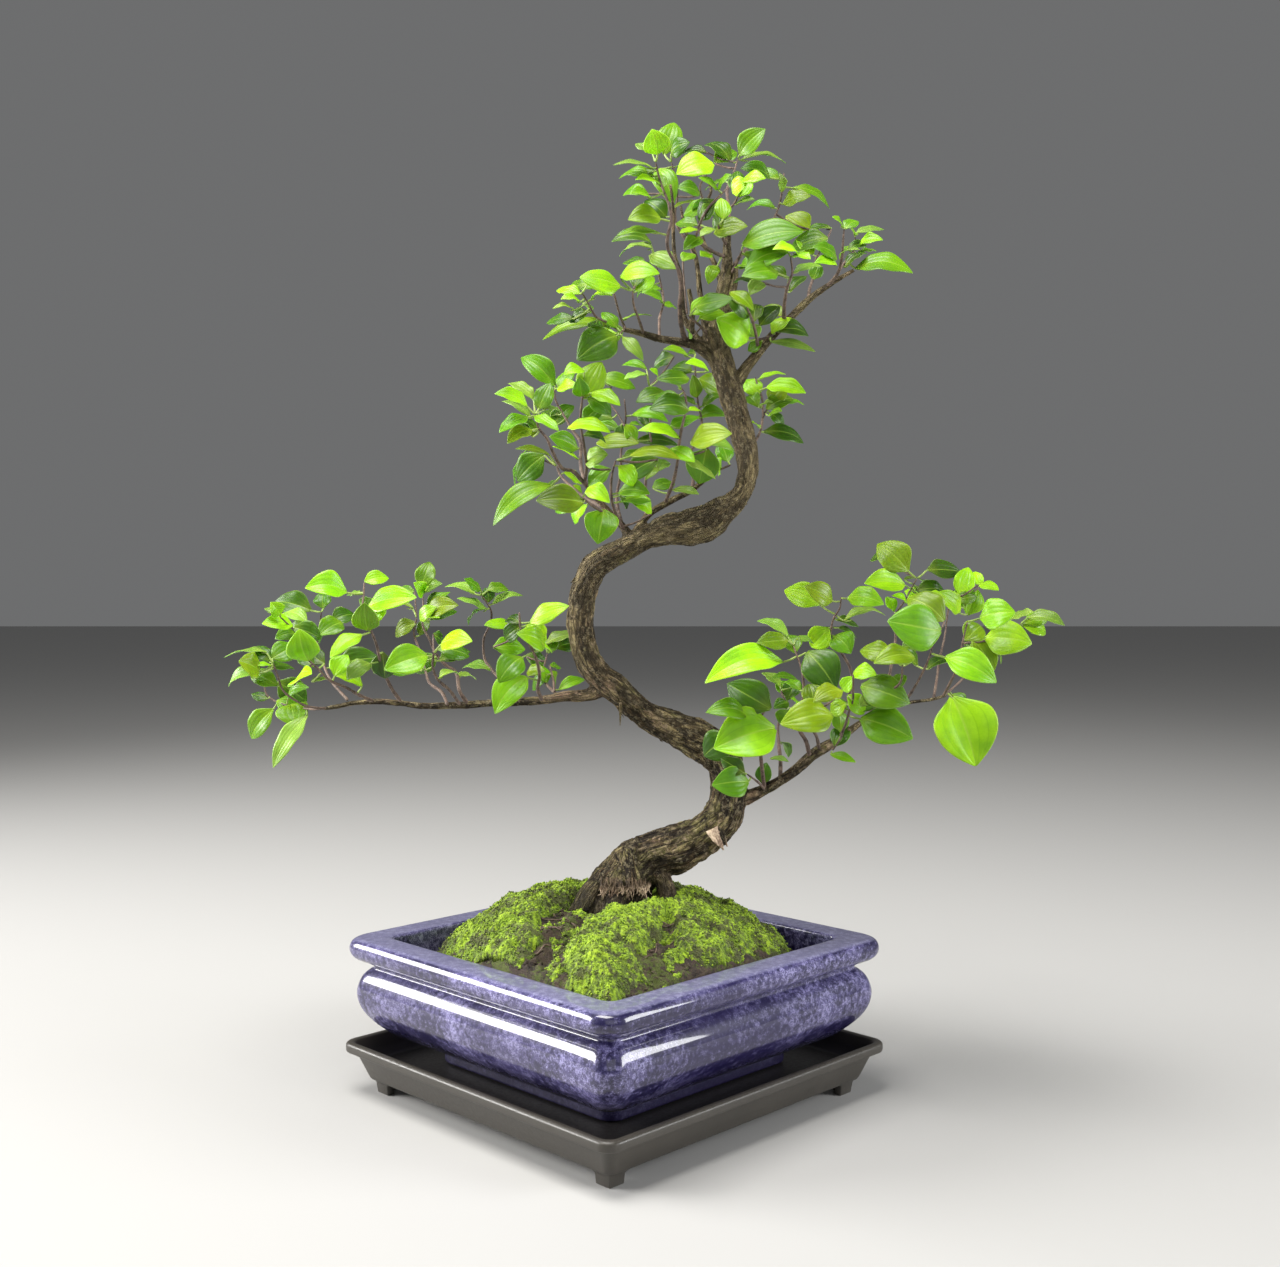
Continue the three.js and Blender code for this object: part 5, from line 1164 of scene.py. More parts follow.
# Name, twigs [first radius, last radius, then x, z, depth of each point],
# leaves [base x, z, tip x, z, depth of tip past base, width, roll, tint].
# Roll 0 lies flat and 90 faces the front.
shoots = [
    ["left_tip_upper", [
        [0.9, 0.5, -147,198.8,2, -156,199.6,-2, -163,203,-8, -169,208,-14, -171.5,215,-18, -174,222,-20],
    ], [
        [-178,227.5, -197,225, 6, 8, 8, 4], [-181,218, -190.5,222.5, -9, 11, 60, 3],
        [-182,216.5, -195.5,210.5, 5, 9, 35, 4], [-174,224.5, -162.5,230, 8, 10, 70, 1],
        [-176,219.5, -164,219, 10, 7, 35, 1], [-175,221, -183,220.5, -6, 5, 25, 2],
    ]],
    ["left_tip_lower", [
        [0.9, 0.5, -147,198.8,2, -154,198.4,6, -163,199.5,12, -171,201.5,16, -177.5,206,18, -178.5,213,18],
    ], [
        [-171,212, -158,203, 6, 12, 78, 0], [-165,201, -162.5,190.5, -9, 14, 55, 2],
        [-174.5,197.8, -184.5,184.5, 5, 11, 62, 1], [-157.5,194, -173,170.5, -5, 9, 50, 4],
        [-166,205, -156.5,209, -8, 7, 50, 1],
    ]],
    ["left_outer_low", [
        [1.2, 0.6, -123,202.5,1, -130,205.5,-6, -137,209.5,-14, -145,213,-22, -151,219,-28,
        -156,223.5,-30],
    ], [
        [-156,223, -160,238, -6, 13, 70, 2], [-163.5,211, -155,216, -8, 12, 35, 2],
        [-129,210.5, -142,215.5, -6, 7, 45, 2], [-154,212.5, -144.5,213, 6, 5, 15, 4],
        [-148,222, -155,226.5, 9, 8, 60, 0],
    ]],
    ["left_outer_high", [
        [1.1, 0.5, -136,203,1, -143,211,10, -147,218,20, -149,226,28, -151.5,234,32, -150,241,32,
        -149,248,30],
        [0.7, 0.5, -151.5,234,32, -158,236.5,26, -164,240,20, -170,245.5,14],
    ], [
        [-155,249, -171,253, 6, 12, 62, 0], [-170,246.5, -174.5,252.5, -5, 7, 60, 2],
        [-163.5,241, -178,242, -6, 9, 50, 2], [-157,242.5, -169,246, 8, 8, 30, 4],
        [-162,237, -172,234.5, -4, 8, 50, 1], [-171,247, -177.5,249.5, 4, 4, 35, 4],
        [-148,250, -147.5,257.5, 6, 8, 80, 0], [-139,242.5, -149.5,236.5, -10, 11, 60, 1],
        [-143.5,243.5, -133,246.5, 6, 9, 60, 0], [-140,221, -121,224, 4, 12, 72, 0],
    ]],
    ["left_mid_tall", [
        [1.3, 0.5, -109,202.5,1, -113,208,-6, -116,214,-12, -119,222,-18, -121,231,-22, -124,239,-24,
        -128,248,-22, -127.5,256,-20, -127,263.5,-19],
    ], [
        [-127,263.5, -115.5,265, 5, 7, 60, 2], [-129,258, -135.5,256.5, 4, 4, 30, 4],
        [-125.5,238.5, -127,251.5, -8, 11, 70, 3], [-129,236, -143.5,225.5, -8, 9, 35, 2],
        [-125,221.5, -135.5,214, -6, 9, 45, 4], [-124,251, -102.5,255, -8, 12, 55, 2],
        [-137,258, -155.5,260, -7, 12, 58, 2], [-118,227, -117,215, 7, 10, 70, 0],
    ]],
    ["left_inner_first", [
        [1.2, 0.6, -85,200.5,3, -88,207,12, -94,211.5,18, -96,217,24, -99,228,30, -102,237,32,
        -100.5,245,30],
    ], [
        [-100.5,242.5, -110.5,236, 6, 8, 60, 3], [-102,258.5, -110.5,256.5, 5, 7, 60, 1],
        [-103,249.8, -119,249.3, 7, 7, 20, 4], [-101.5,217.5, -121,217, -8, 8, 40, 1],
        [-90.5,225, -100,217.5, 5, 9, 65, 0],
    ]],
    ["left_inner_second", [
        [1.2, 0.6, -79,201,3, -84,208,-8, -90,213.5,-16, -92.5,220,-22, -92,227,-26],
    ], [
        [-96,225.5, -115.5,219, -6, 13.5, 62, 2], [-87.5,232, -73.5,233, -8, 11, 50, 2],
        [-89,229, -75,225.5, 4, 9, 50, 0], [-89,214.5, -80,216, 7, 6, 12, 4],
        [-92,236.5, -88,232, 8, 6, 60, 0],
    ]],
    ["left_inner_third", [
        [1.4, 0.5, -75,201.5,3, -79,208,0, -80.5,217,4, -86,221,4, -91,227,2, -94,234,0, -97.5,241,0,
        -97,248,2, -97.5,257,4],
    ], [
        [-98,261, -94,272.5, 6, 8.5, 80, 1], [-97,257, -101.5,262.5, -7, 7, 60, 2],
        [-97,257.5, -91,264, 6, 6, 60, 2], [-95.5,258.5, -88,262, -6, 6, 45, 4],
        [-94.5,247, -80.5,251, -7, 10, 60, 3], [-95,250, -84.5,255, 7, 8, 65, 0],
        [-99,244, -91,250, -5, 7, 60, 2], [-97,244, -89.5,245, -9, 5, 25, 2],
        [-80,215, -71,213.5, 7, 6, 18, 4],
    ]],
    ["left_near_tall", [
        [1.2, 0.5, -53,201.8,5, -57,212,12, -62,218,17, -66,224,20, -66.5,234,20, -63.5,241,18,
        -62.3,247,16, -64,251.5,14, -67.5,256.5,12],
    ], [
        [-71.5,257.5, -85,260.5, 6, 8, 20, 4], [-68,259.5, -75.5,264.5, -6, 7, 45, 1],
        [-64,259, -54.5,259.3, 6, 7, 45, 1], [-64.5,249.5, -78.5,254.5, -6, 8, 25, 4],
        [-61,252.5, -47.5,256, 6, 7, 22, 4], [-52,241.3, -65,241.3, -8, 8, 42, 2],
        [-62,218.3, -76,219.5, 7, 7, 28, 4],
    ]],
    ["left_near_broad", [
        [1.4, 0.6, -37,203,5, -39,209,-4, -38,216,-10, -40,225,-15, -44,233,-18, -47.5,239,-19,
        -48.3,248,-19],
    ], [
        [-42,243, -24.5,250.5, -6, 9.5, 55, 2], [-36,230.5, -48.5,236.5, -9, 11, 55, 2],
        [-36,232.5, -43.5,241, 5, 9, 55, 2], [-61,230, -46.5,229, 8, 9, 60, 1],
        [-47,241, -55,234.5, 7, 8, 70, 0], [-47.5,242, -54.5,243.5, 8, 6, 50, 0],
        [-47.5,224.5, -58,213, -7, 11.5, 65, 1], [-45,214, -59.5,197.5, -7, 13.5, 55, 2],
    ]],
    ["left_near_low", [
        [1.3, 0.6, -27,203.5,6, -30.5,207,14, -35,212,20, -36,218,24, -34,227,26],
        [1.0, 0.6, -30.5,207,14, -31,213,20, -33,221,24],
    ], [
        [-34,232, -18.5,236, 5, 8, 28, 4], [-29.5,229.5, -17.5,231.5, 9, 8, 60, 0],
        [-44.5,225, -36,220, 5, 8, 60, 0], [-44,217.5, -36,218, -6, 7, 55, 3],
        [-27.5,208.5, -16,213, 8, 6, 45, 1], [-33,220.5, -27.5,219.5, 5, 4, 45, 1],
    ]],
    ["right_first", [
        [1.5, 0.7, 77,157,0, 76,165,-8, 75,174,-14, 75,184,-18, 74,192,-20, 77,198,-20],
        [1.0, 0.6, 77,157,0, 74,160.5,-10, 68,165,-16],
    ], [
        [79,199, 59.5,210.5, 6, 15, 72, 0], [67,195, 48.5,196.5, -7, 10, 52, 1],
        [81,188, 53.5,179, -8, 22, 62, 2], [59,183.5, 47,175, 6, 13.5, 74, 0],
        [68,161, 51.5,159.5, -6, 13, 72, 1],
    ]],
    ["right_second", [
        [1.5, 0.6, 85,162,-1, 85,172,8, 84,182,14, 84,191,18, 88,199,20, 85,208,22],
    ], [
        [94,211.5, 81.5,214, -6, 6, 30, 1], [88,205, 84,212.5, 7, 6, 60, 1],
        [89,202, 82,199, -6, 6, 55, 0], [95,200, 90.5,203.5, -6, 4.5, 40, 2],
        [80,173, 88.5,171.5, -6, 4, 30, 4], [85,210, 76,216.5, 6, 7, 20, 4],
    ]],
    ["right_third", [
        [1.5, 0.5, 100,174,-2, 98,182,-10, 94,189,-16, 95,197,-20, 96.5,205,-22, 96.5,213,-22, 95,221,-20,
        91.3,231,-18],
    ], [
        [84,222, 49.5,212.5, -8, 13.5, 56, 2], [88,233.5, 74,232.5, -6, 9, 55, 3],
        [88,236, 74,242.8, 6, 7, 28, 4], [93,234, 101,232, 6, 4.5, 40, 4],
        [99,227, 112,210, -5, 16, 76, 0],
    ]],
    ["right_fourth", [
        [1.3, 0.6, 105,177.5,-2, 103.5,184,-14, 101,190,-24, 104,198,-30],
    ], [
        [110.5,195, 87,191, -6, 15, 60, 3], [91,197.5, 86,190.5, 7, 9, 72, 1],
        [102,201, 99.5,210.5, 5, 9, 72, 3], [116,207.5, 103,202.5, -7, 9, 50, 3],
    ]],
    ["right_mid_tall", [
        [1.4, 0.5, 112,181.5,-3, 116,192,8, 119,202,14, 121,211,18, 120.5,219,20, 116,227,18, 110.5,234,15,
        111.5,244,12, 115,250,10, 115.5,256,10],
    ], [
        [104,252, 88,258.5, 6, 12.5, 62, 2], [110.5,253.8, 98,260.5, -5, 11, 62, 3],
        [119.5,254.8, 136,252, -6, 11, 56, 2], [118,243.5, 136.5,246, 7, 7, 20, 4],
        [109.5,240, 101,231, 5, 11, 75, 2], [112,236, 120,227.5, -6, 11.5, 74, 1],
        [116.5,208.5, 122,214.5, -6, 7, 60, 2],
    ]],
    ["right_inner_low", [
        [1.1, 0.6, 115,183.5,-3, 118,190,-10, 120,197,-16, 122,203,-20],
        [0.8, 0.6, 117.6,189,-9, 115.5,183,-9.5, 111.5,177,-9],
    ], [
        [118,201, 111,197, 6, 8, 65, 2], [119.5,205, 127,196.5, 5, 8, 68, 2],
        [122.5,217, 133,216, -6, 8, 58, 2], [110.5,175.3, 122.5,171.5, -5, 5, 40, 1],
        [127,193, 150.5,184, -8, 17, 66, 1],
    ]],
    ["right_outer_low", [
        [1.2, 0.6, 127,192.5,-3, 133,199,-12, 139,206,-18, 146,212,-22, 147,220,-24],
    ], [
        [127,210, 149,202, -6, 15.5, 62, 1], [141,226.5, 126.5,228, 6, 10, 58, 3],
        [152.5,224.5, 134,222, -6, 11, 48, 3], [131,203, 126,200, -8, 6, 50, 4],
        [147,229.5, 154,230, 7, 7, 55, 1],
    ]],
    ["right_outer_tall", [
        [1.2, 0.5, 135,198.5,-3, 139,208,10, 141.5,222,20, 143.5,236,26, 142,244,27, 148,254,26,
        154,265,22],
    ], [
        [149,269.5, 135,281.5, 6, 15, 74, 3], [138,276.5, 131,274.5, 9, 7, 55, 0],
        [147,262, 129,262.5, -8, 12, 56, 2], [160,269.5, 175,268.5, 6, 11, 52, 0],
        [148,264.5, 158,262.5, 8, 5, 15, 4], [154,259, 167,258.5, 7, 9, 60, 0],
        [157,256, 148.5,258.5, 5, 7, 60, 2], [149,252.5, 142,256, -6, 5, 45, 2],
    ]],
    ["right_outer_big", [
        [1.1, 0.5, 147,200.2,-2, 152,207.5,-14, 156,214.5,-22, 160,223,-28, 162.5,231.5,-32],
    ], [
        [165.5,238.5, 141.5,243, -5, 19, 72, 1], [167.5,244, 150.5,254, 8, 14, 68, 3],
        [170,224.5, 193,213, -6, 14, 60, 2], [160,252.5, 167,256, 7, 6, 55, 2],
    ]],
    ["right_tip_first", [
        [1.0, 0.5, 163,203.5,-1, 164.5,213,10, 166,224,18, 168.5,236,22, 170,248,22, 172,254,20],
    ], [
        [176,249, 166,257.5, -7, 10, 60, 2], [178,250.5, 173.5,258.5, 7, 9, 68, 1],
        [176.5,256, 180,269.5, 6, 9.5, 76, 2], [186,262, 195,259.3, -6, 7, 38, 2],
        [180,247, 184.5,258.5, 5, 10, 72, 2], [186,261, 183.5,268, 6, 5, 60, 2],
    ]],
    ["right_tip_second", [
        [1.0, 0.5, 168,205,0, 172,213,-8, 176,222,-16, 177.5,232,-22, 180,243,-24],
        [0.8, 0.5, 177.5,232,-22, 190,233.5,-26, 200,237.5,-24, 207,242,-22],
    ], [
        [187,245, 203,247.5, -6, 14, 60, 2], [189,234.5, 211,232, -7, 16.5, 60, 2],
        [178.5,233.5, 186,240.5, 7, 10, 70, 3], [183,234, 193,219.5, -5, 12, 70, 3],
        [213,248, 202.5,244.5, 6, 6, 35, 4], [211.5,245, 228,241.5, -5, 8, 38, 4],
        [208,241, 219,238, 6, 8, 60, 2],
    ]],
    ["right_tip_hanging", [
        [0.9, 0.6, 168,205,0, 171,207.5,4, 178,214,8, 183,220,10, 187,228,10],
    ], [
        [173,203, 184,172, -7, 27, 76, 2], [186,228, 177,226, 6, 8, 50, 1],
        [188,229, 196,232, 6, 8, 60, 1],
    ]],
    ["mid_left_low", [
        [1.5, 0.7, -4,300.5,5, -13,305,12, -21,311,20, -27,317,26, -29,322,28],
    ], [
        [-33,311.5, -59,293.5, -6, 11.5, 48, 1], [-25,318.5, -17,313.3, 6, 6, 55, 2],
        [-36,327, -48,315.5, 5, 13, 74, 0], [-33.5,328, -48.5,330.5, -6, 7, 30, 3],
        [-43.5,330, -49.5,313, 8, 6, 20, 4], [-21,312, -16.5,308, 5, 5, 55, 2],
    ]],
    ["mid_left_front", [
        [1.2, 0.7, 1,295.5,3, -5,298.5,-8, -11,302,-16, -16,306,-22],
    ], [
        [-16.5,303.5, -37.5,304.5, -6, 13.5, 60, 3], [-5,300, -8,284, -6, 14, 76, 1],
        [-12.5,311, -3,304, -6, 8, 60, 2],
    ]],
    ["mid_left_long", [
        [1.6, 0.6, -12,310,6, -17,315.5,0, -21,319.5,-6, -26.5,321,-12, -31,329,-18, -34,336,-22,
        -38,341,-24, -40,348,-24],
    ], [
        [-41,356, -52.5,363, 6, 7, 28, 4], [-44.5,352.5, -59,358, -6, 9, 45, 2],
        [-38,351, -32.5,363, 5, 8, 74, 1], [-42.5,346.5, -55.5,354, 7, 6, 22, 4],
        [-44,346.5, -57,339.5, -6, 8, 38, 1], [-40,347.5, -29,340.5, -9, 6, 38, 2],
        [-42,340, -53,334, -5, 8, 48, 3], [-41,337, -41.5,343.5, 7, 6, 60, 3],
        [-35.5,350.5, -27,349, 6, 5, 30, 4],
    ]],
    ["mid_left_tall", [
        [1.5, 0.5, -14,312,5, -16.8,322,10, -17,334,14, -21,340,16, -25,347,18, -29.5,355,18, -30,361,17],
    ], [
        [-30.5,363, -45.5,375.5, 5, 10.5, 68, 1], [-28.5,361, -19,362, -6, 8, 52, 2],
        [-19,331, -31.5,336.5, -7, 10, 62, 1], [-31,342, -21,351.5, 6, 8, 64, 0],
        [-18,325.5, -30,331.5, -5, 5, 28, 2],
    ]],
    ["mid_left_light", [
        [1.2, 0.6, -15,313.5,5, -14,322,-6, -15.5,334,-12, -17,345,-15, -16,356,-16, -15,366,-16],
    ], [
        [-15.5,370, -24.5,368, -5, 7.5, 48, 2], [-15,356.5, -7,373, 5, 12, 74, 2],
        [-16.5,357, -17.5,366, -7, 7, 70, 1], [-11,358.5, 2,353, -7, 8, 48, 2],
        [-22.5,341, -3.5,339, -7, 9, 42, 2], [-15,338, -5,334, 6, 8, 40, 0],
        [-14.5,323.5, -4,327.5, -6, 10, 60, 4], [-2,320, -12,312, 5, 9, 62, 1],
    ]],
    ["mid_centre_tall", [
        [1.4, 0.5, 5,289,2, 2,300,8, 1.5,308,14, 3.5,318,18, 3.5,328,20, 5,338,20, 6,347,19, 5.3,356,18],
        [0.8, 0.5, 5.5,342,20, 2,348,24, -4,357,28, -1,362,30],
    ], [
        [-6.5,366, 9.5,361.5, 5, 9.5, 52, 1], [-1.5,346, -17,346, 6, 9, 52, 0],
        [10,347.5, 26,344.5, -5, 8, 48, 1], [-8,333.5, 11,333.5, -7, 10, 52, 3],
        [5,327, 17,329, 7, 6, 40, 1],
    ]],
    ["mid_centre_low", [
        [1.2, 0.6, 5,290,1, 0,300,-8, -1.5,309,-14, -1,318,-18, 1,325,-20],
    ], [
        [22,325, 6.5,315, 6, 10, 66, 0], [9,327, 31.5,325.5, -6, 9, 38, 3],
        [3,308.5, 17,308, -5, 9, 56, 1], [3,307, 6.5,301.5, 7, 7, 60, 0],
        [18.5,298.5, 6.5,305.5, -6, 8, 56, 2],
    ]],
    ["mid_right_first", [
        [1.2, 0.5, 15,294,3, 17,303,10, 16,312,16, 17,322,20, 19,332,22, 18,342,24, 20,352,24, 18,362,24],
    ], [
        [16,371, 5,372.5, 6, 6, 40, 1], [16,368.5, 6,366, -5, 6, 32, 4], [30,377, 21,372, 6, 8, 58, 0],
        [22.5,366, 18.5,370.5, -6, 6, 50, 2], [26.5,358, 12.5,354.5, -6, 10, 52, 0],
        [12,334.5, 31,332.5, 6, 8, 46, 0], [22,319.5, 28,323, 6, 6, 55, 4],
        [22,321, 16.5,315.5, -5, 5, 40, 4],
    ]],
    ["mid_right_second", [
        [1.3, 0.5, 26,303.5,2, 30,314,-8, 32,323,-14, 33,333,-18, 34.5,342,-20, 36.5,351,-20, 36,358,-19,
        33,363,-18],
    ], [
        [37.5,366, 23,365.5, -6, 9, 52, 1], [34,360.5, 26,364.5, -8, 5, 28, 2],
        [38,350, 19.5,350.5, -5, 11, 60, 0], [33.5,336, 14,339.5, -6, 8, 42, 2],
        [29,342, 42,346.5, 6, 7, 42, 1], [29,330.5, 40,324.5, -7, 8, 50, 2], [20,311, 30,313, 7, 7, 52, 1],
        [30,310, 42,308, -6, 6, 38, 4],
    ]],
    ["mid_right_third", [
        [1.3, 0.5, 40,310,2, 40,318,10, 38.5,328,16, 43,336,20, 44.5,344,22, 42.5,354,23, 41.5,366,23,
        40.5,376,22],
    ], [
        [37,377.5, 26,380.5, -5, 6, 42, 2], [41,378.5, 36.5,377, 6, 5, 50, 0],
        [39,369.5, 30,371, 6, 9, 60, 0], [47.5,370, 37,373.5, -6, 7, 42, 2],
        [43,366, 52.5,360, 6, 10, 64, 3], [42,356.5, 40,367, -7, 6, 60, 3],
        [43.5,350, 38,350, -6, 5, 40, 2], [42.5,346, 56.5,346.5, 6, 8, 48, 1],
    ]],
    ["mid_right_end", [
        [1.2, 0.6, 47,316,1, 49,324,-10, 47,332,-16, 45,336,-20],
        [1.0, 0.6, 47,316,1, 52.5,319.5,-6, 59.5,322.8,-8],
    ], [
        [39.5,333.5, 58,338, -6, 12.5, 56, 3], [46,333.5, 60,329.5, 6, 8, 42, 4],
        [47,331, 43.5,314.5, 6, 14, 76, 1], [33,326.5, 50,316.5, -7, 6, 22, 4],
    ]],
    ["trunk_right_sprig", [
        [1.1, 0.5, 69,331,-6, 74,339,4, 75.5,347,8, 78.5,352,10, 80,355,10],
        [0.8, 0.5, 75.5,347,8, 75,356,14, 72.5,363,16, 71.5,367,16],
    ], [
        [76.5,339, 94.5,334, 6, 9.5, 52, 0], [78,361.5, 95.5,359, -6, 10, 48, 2],
        [79,353.5, 86,361, 6, 9, 70, 3], [74,358, 67.5,365, 6, 8.5, 72, 2], [73,352, 68,357, 7, 7, 70, 1],
        [74,366, 86,368, 5, 4, 30, 2], [78.5,347.5, 84.5,349.5, -6, 6, 45, 2],
        [73.5,351.5, 80,354, -7, 4, 35, 4], [73.5,341.5, 70,343.8, -5, 4, 35, 2],
    ]],
    ["crown_left_tip", [
        [1.0, 0.5, 2,391,0, -4,394.5,-8, -9,397,-14, -12.5,403,-18, -16,409,-20],
    ], [
        [-21,396, -33,394, 6, 7, 52, 0], [-20.5,400.5, -30,401, -5, 5, 30, 4],
        [-17.5,404.5, -26,405.8, -5, 6, 42, 2], [-17,408.5, -28,410, 6, 7, 48, 2],
        [-14,413, -22.5,411, 8, 9, 60, 1], [-11,406, -1.5,407.5, -6, 6, 40, 2],
        [-15.5,403.5, -12,399, 7, 5, 35, 4], [-1,391.8, -33,386, -5, 9, 38, 3],
    ]],
    ["crown_left_lower", [
        [0.9, 0.6, 6,390.5,0, 3,398,-6, 0,409,-10],
        [0.8, 0.5, 4.8,393.5,-2.4, 5.5,391,-6, 3,388.5,-10],
    ], [
        [1.5,387.5, -17,376.5, -5, 16, 74, 0], [5,386.5, 14,376, -6, 6, 50, 4],
        [-5,414, -17,411.5, 8, 9, 55, 1], [4,395.5, 18,397.5, 5, 4, 15, 4],
    ]],
    ["crown_left_mid", [
        [1.1, 0.5, 15,388.5,0, 12.5,396,-10, 10,403,-18, 9.5,410,-22],
    ], [
        [2.5,412.5, -15.5,416.5, -6, 13, 56, 2], [4,417, 21.5,418.5, -5, 10.5, 56, 2],
        [15,425, 5.5,424, 7, 7, 45, 0],
    ]],
    ["crown_left_inner", [
        [1.0, 0.5, 23,386.3,1, 23,396,12, 25,404,18, 24,412,22, 22,420,24, 20,428,24],
    ], [
        [24,411, 15,409, -6, 6, 45, 1], [25,404, 16,408.5, -8, 7, 52, 1],
        [24.5,403, 31,401.5, 6, 5.5, 45, 2], [18,428, 32,421.5, -6, 11, 56, 4],
        [18,434, 0.5,434.5, -6, 10, 46, 0], [19,431, 4,427.3, 6, 7, 28, 4],
    ]],
    ["crown_left_tall", [
        [1.8, 0.6, 36,385,0, 34,393,-6, 33.3,402,-10, 34,412,-13, 32,422,-15, 27.5,430,-17, 27,437,-18,
        29,446,-18, 27,455,-18, 23.5,464,-18, 21,474,-18],
    ], [
        [22,439, 3.5,437.5, -5, 7, 34, 2], [23,446, 8.5,445.5, -5, 11.5, 56, 3],
        [18,456.5, 9,458.5, -6, 7, 48, 2], [23.5,463, 12,465.2, -6, 6, 38, 2],
        [19.5,467, 4,466, 6, 8, 42, 1], [20,471, 1.5,472.5, -5, 7, 28, 4],
        [22,478.5, 19.5,489.5, -5, 11, 74, 2], [19,479, 11.5,483, 5, 6, 42, 4],
    ]],
    ["crown_left_back", [
        [1.5, 0.5, 44,400,2, 43.5,412,10, 42,423,16, 38,433,20, 32.5,441,22, 30.8,448,22, 32,457,22,
        31,466,22, 29,474,22],
    ], [
        [26,447, 16.5,454.5, 6, 10, 70, 0], [16.5,458.5, 5.5,457.5, 5, 8, 50, 1],
        [22.5,470, 29.5,454.5, -7, 11, 68, 1], [25.5,478.5, 30,492.5, 6, 11, 74, 1],
        [29,478.5, 37.5,483.5, -6, 10, 68, 0], [43,458, 32.5,461, -5, 9, 58, 1],
        [29,450, 41,454, -9, 5, 38, 3],
    ]],
    ["crown_twisted", [
        [1.4, 0.5, 56,427,0, 50,429.5,-8, 44.5,433,-14, 41.5,437,-17, 44,445,-19, 48,452,-20, 54,458,-20,
        57,461,-19],
        [0.8, 0.5, 47,451,-20, 44,458,-23, 43.5,463,-24, 47,468,-25],
    ], [
        [49.5,473, 33,468.5, -5, 13.5, 60, 2], [47,453, 36,448, 6, 9, 58, 1],
        [42,443, 32,443.5, 5, 8, 50, 1], [42,441, 34,439, -7, 5, 35, 2], [44,436.5, 36,431, -5, 7, 58, 1],
        [52,461, 43.5,466, -6, 7, 48, 1], [52.5,461, 58.5,467.5, -6, 7, 48, 1],
        [50,441, 44,437.5, -6, 5, 35, 4], [49,428, 44,427.5, -5, 6, 50, 2], [52,422, 48,414, -5, 6, 55, 2],
    ]],
    ["crown_leader_top", [
        [1.4, 0.5, 57.5,440,1, 58,450,4, 57,460,7, 60,468,9, 62.5,476,10],
        [0.9, 0.5, 58.5,451,4, 62,456,0, 62.5,463,-3],
    ], [
        [46,479, 35,478.5, 5, 7, 45, 0], [51,474, 61,478.7, 5, 9, 58, 1],
        [63,477.5, 75,489.5, -5, 10.5, 68, 1], [65,475, 85,473.5, 5, 7, 28, 4],
        [65,465.5, 75.5,466, -6, 8, 56, 2], [60,459, 67,464, -6, 8.5, 70, 2],
        [61,453, 70,455.5, -6, 6, 42, 4],
    ]],
    ["crown_front_olive", [
        [1.1, 0.6, 56.5,433,0, 54,438,-10, 52.5,443,-14],
    ], [
        [51,439, 66,442, -6, 11, 56, 3], [55,446, 54,455.5, 6, 7, 80, 2],
    ]],
    ["crown_right_tall", [
        [1.3, 0.5, 60,422,1, 66,430,8, 73,436,14, 79,443,18, 83,452,20, 85,462,20, 85.5,469,20],
    ], [
        [78,466.5, 65,470.5, -6, 10, 56, 0], [91,461, 107,452, 5, 7, 46, 1],
        [85.5,453.5, 98,457, -6, 9, 60, 3], [84.5,459, 83.5,468, -6, 4.5, 50, 4],
        [98,441, 87.5,447, 5, 12, 66, 3],
    ]],
    ["crown_right_signature", [
        [1.1, 0.6, 59,418,1, 62,424,-8, 64.5,430,-14],
    ], [
        [66,433, 93,439, -6, 15, 58, 1], [66,428, 70.5,424.5, 6, 6, 60, 1],
        [60.5,422, 67.5,422.3, -5, 4, 30, 2],
    ]],
    ["crown_fork_tall", [
        [1.5, 0.5, 86,394,0, 86,403,-8, 87.5,412,-14, 90,419,-17, 89,427,-18],
    ], [
        [87,429, 67.5,419.5, 6, 12, 56, 1], [82,419, 66,417.5, -7, 11, 58, 1],
        [75,414, 69,408.5, -5, 7, 55, 4], [72,415, 61,414, 6, 5, 40, 0],
        [91,427.5, 98.5,426, -6, 6, 45, 2], [92,428.5, 81,430.5, -7, 7, 48, 2],
        [90.5,419, 104,422, 6, 6, 32, 4],
    ]],
    ["crown_fork_right", [
        [1.2, 0.5, 98,405.5,1, 99,412,10, 101.5,419,16, 101,424,18, 104,430,20],
    ], [
        [112,423, 102,424, -6, 7, 52, 2], [112,426, 101,431.5, -6, 9, 56, 1],
        [107,436, 90,430.5, 5, 12, 56, 1], [109,441, 95.5,438, 8, 8, 36, 0],
    ]],
    ["crown_right_end", [
        [1.3, 0.5, 108,412.5,0, 113,419,-8, 115,427,-13, 115.5,435,-15, 116,441,-15],
        [0.9, 0.5, 112.5,418.5,-7, 117,425,-2, 121.5,431,2, 121.5,437,3],
    ], [
        [116.5,441, 122.5,444.5, 5, 6.5, 45, 1], [115.5,441.5, 110.5,446.5, -5, 6, 45, 2],
        [121.5,438, 118.5,442, -6, 6, 50, 2], [122.5,439, 135,440.5, 5, 6, 36, 4],
        [124,433.5, 134.5,435.3, -5, 6.5, 55, 2], [114.5,429, 123,430.5, -6, 4.5, 30, 4],
        [123,421, 148.5,419, -5, 12.5, 48, 1],
    ]],
    ["crown_low_right", [
        [1.3, 0.6, 73,379.5,0, 72,387,-8, 70,395,-14, 67,402,-17],
        [0.9, 0.6, 72.2,385.5,-6.5, 77,386.5,-7, 81,388,-7],
    ], [
        [82,390, 97,387.5, 6, 9, 55, 0], [80,384.5, 100,380, -6, 8, 34, 4],
        [84,397.5, 76.5,402, 7, 7, 55, 3], [59,409, 69.5,401, -5, 7, 45, 3],
        [58,407, 67,397, 5, 10, 68, 0], [73,387, 67,393, 5, 8, 60, 4], [67,385.5, 53,395.5, -6, 16, 74, 2],
    ]],
    ["crown_front_green", [
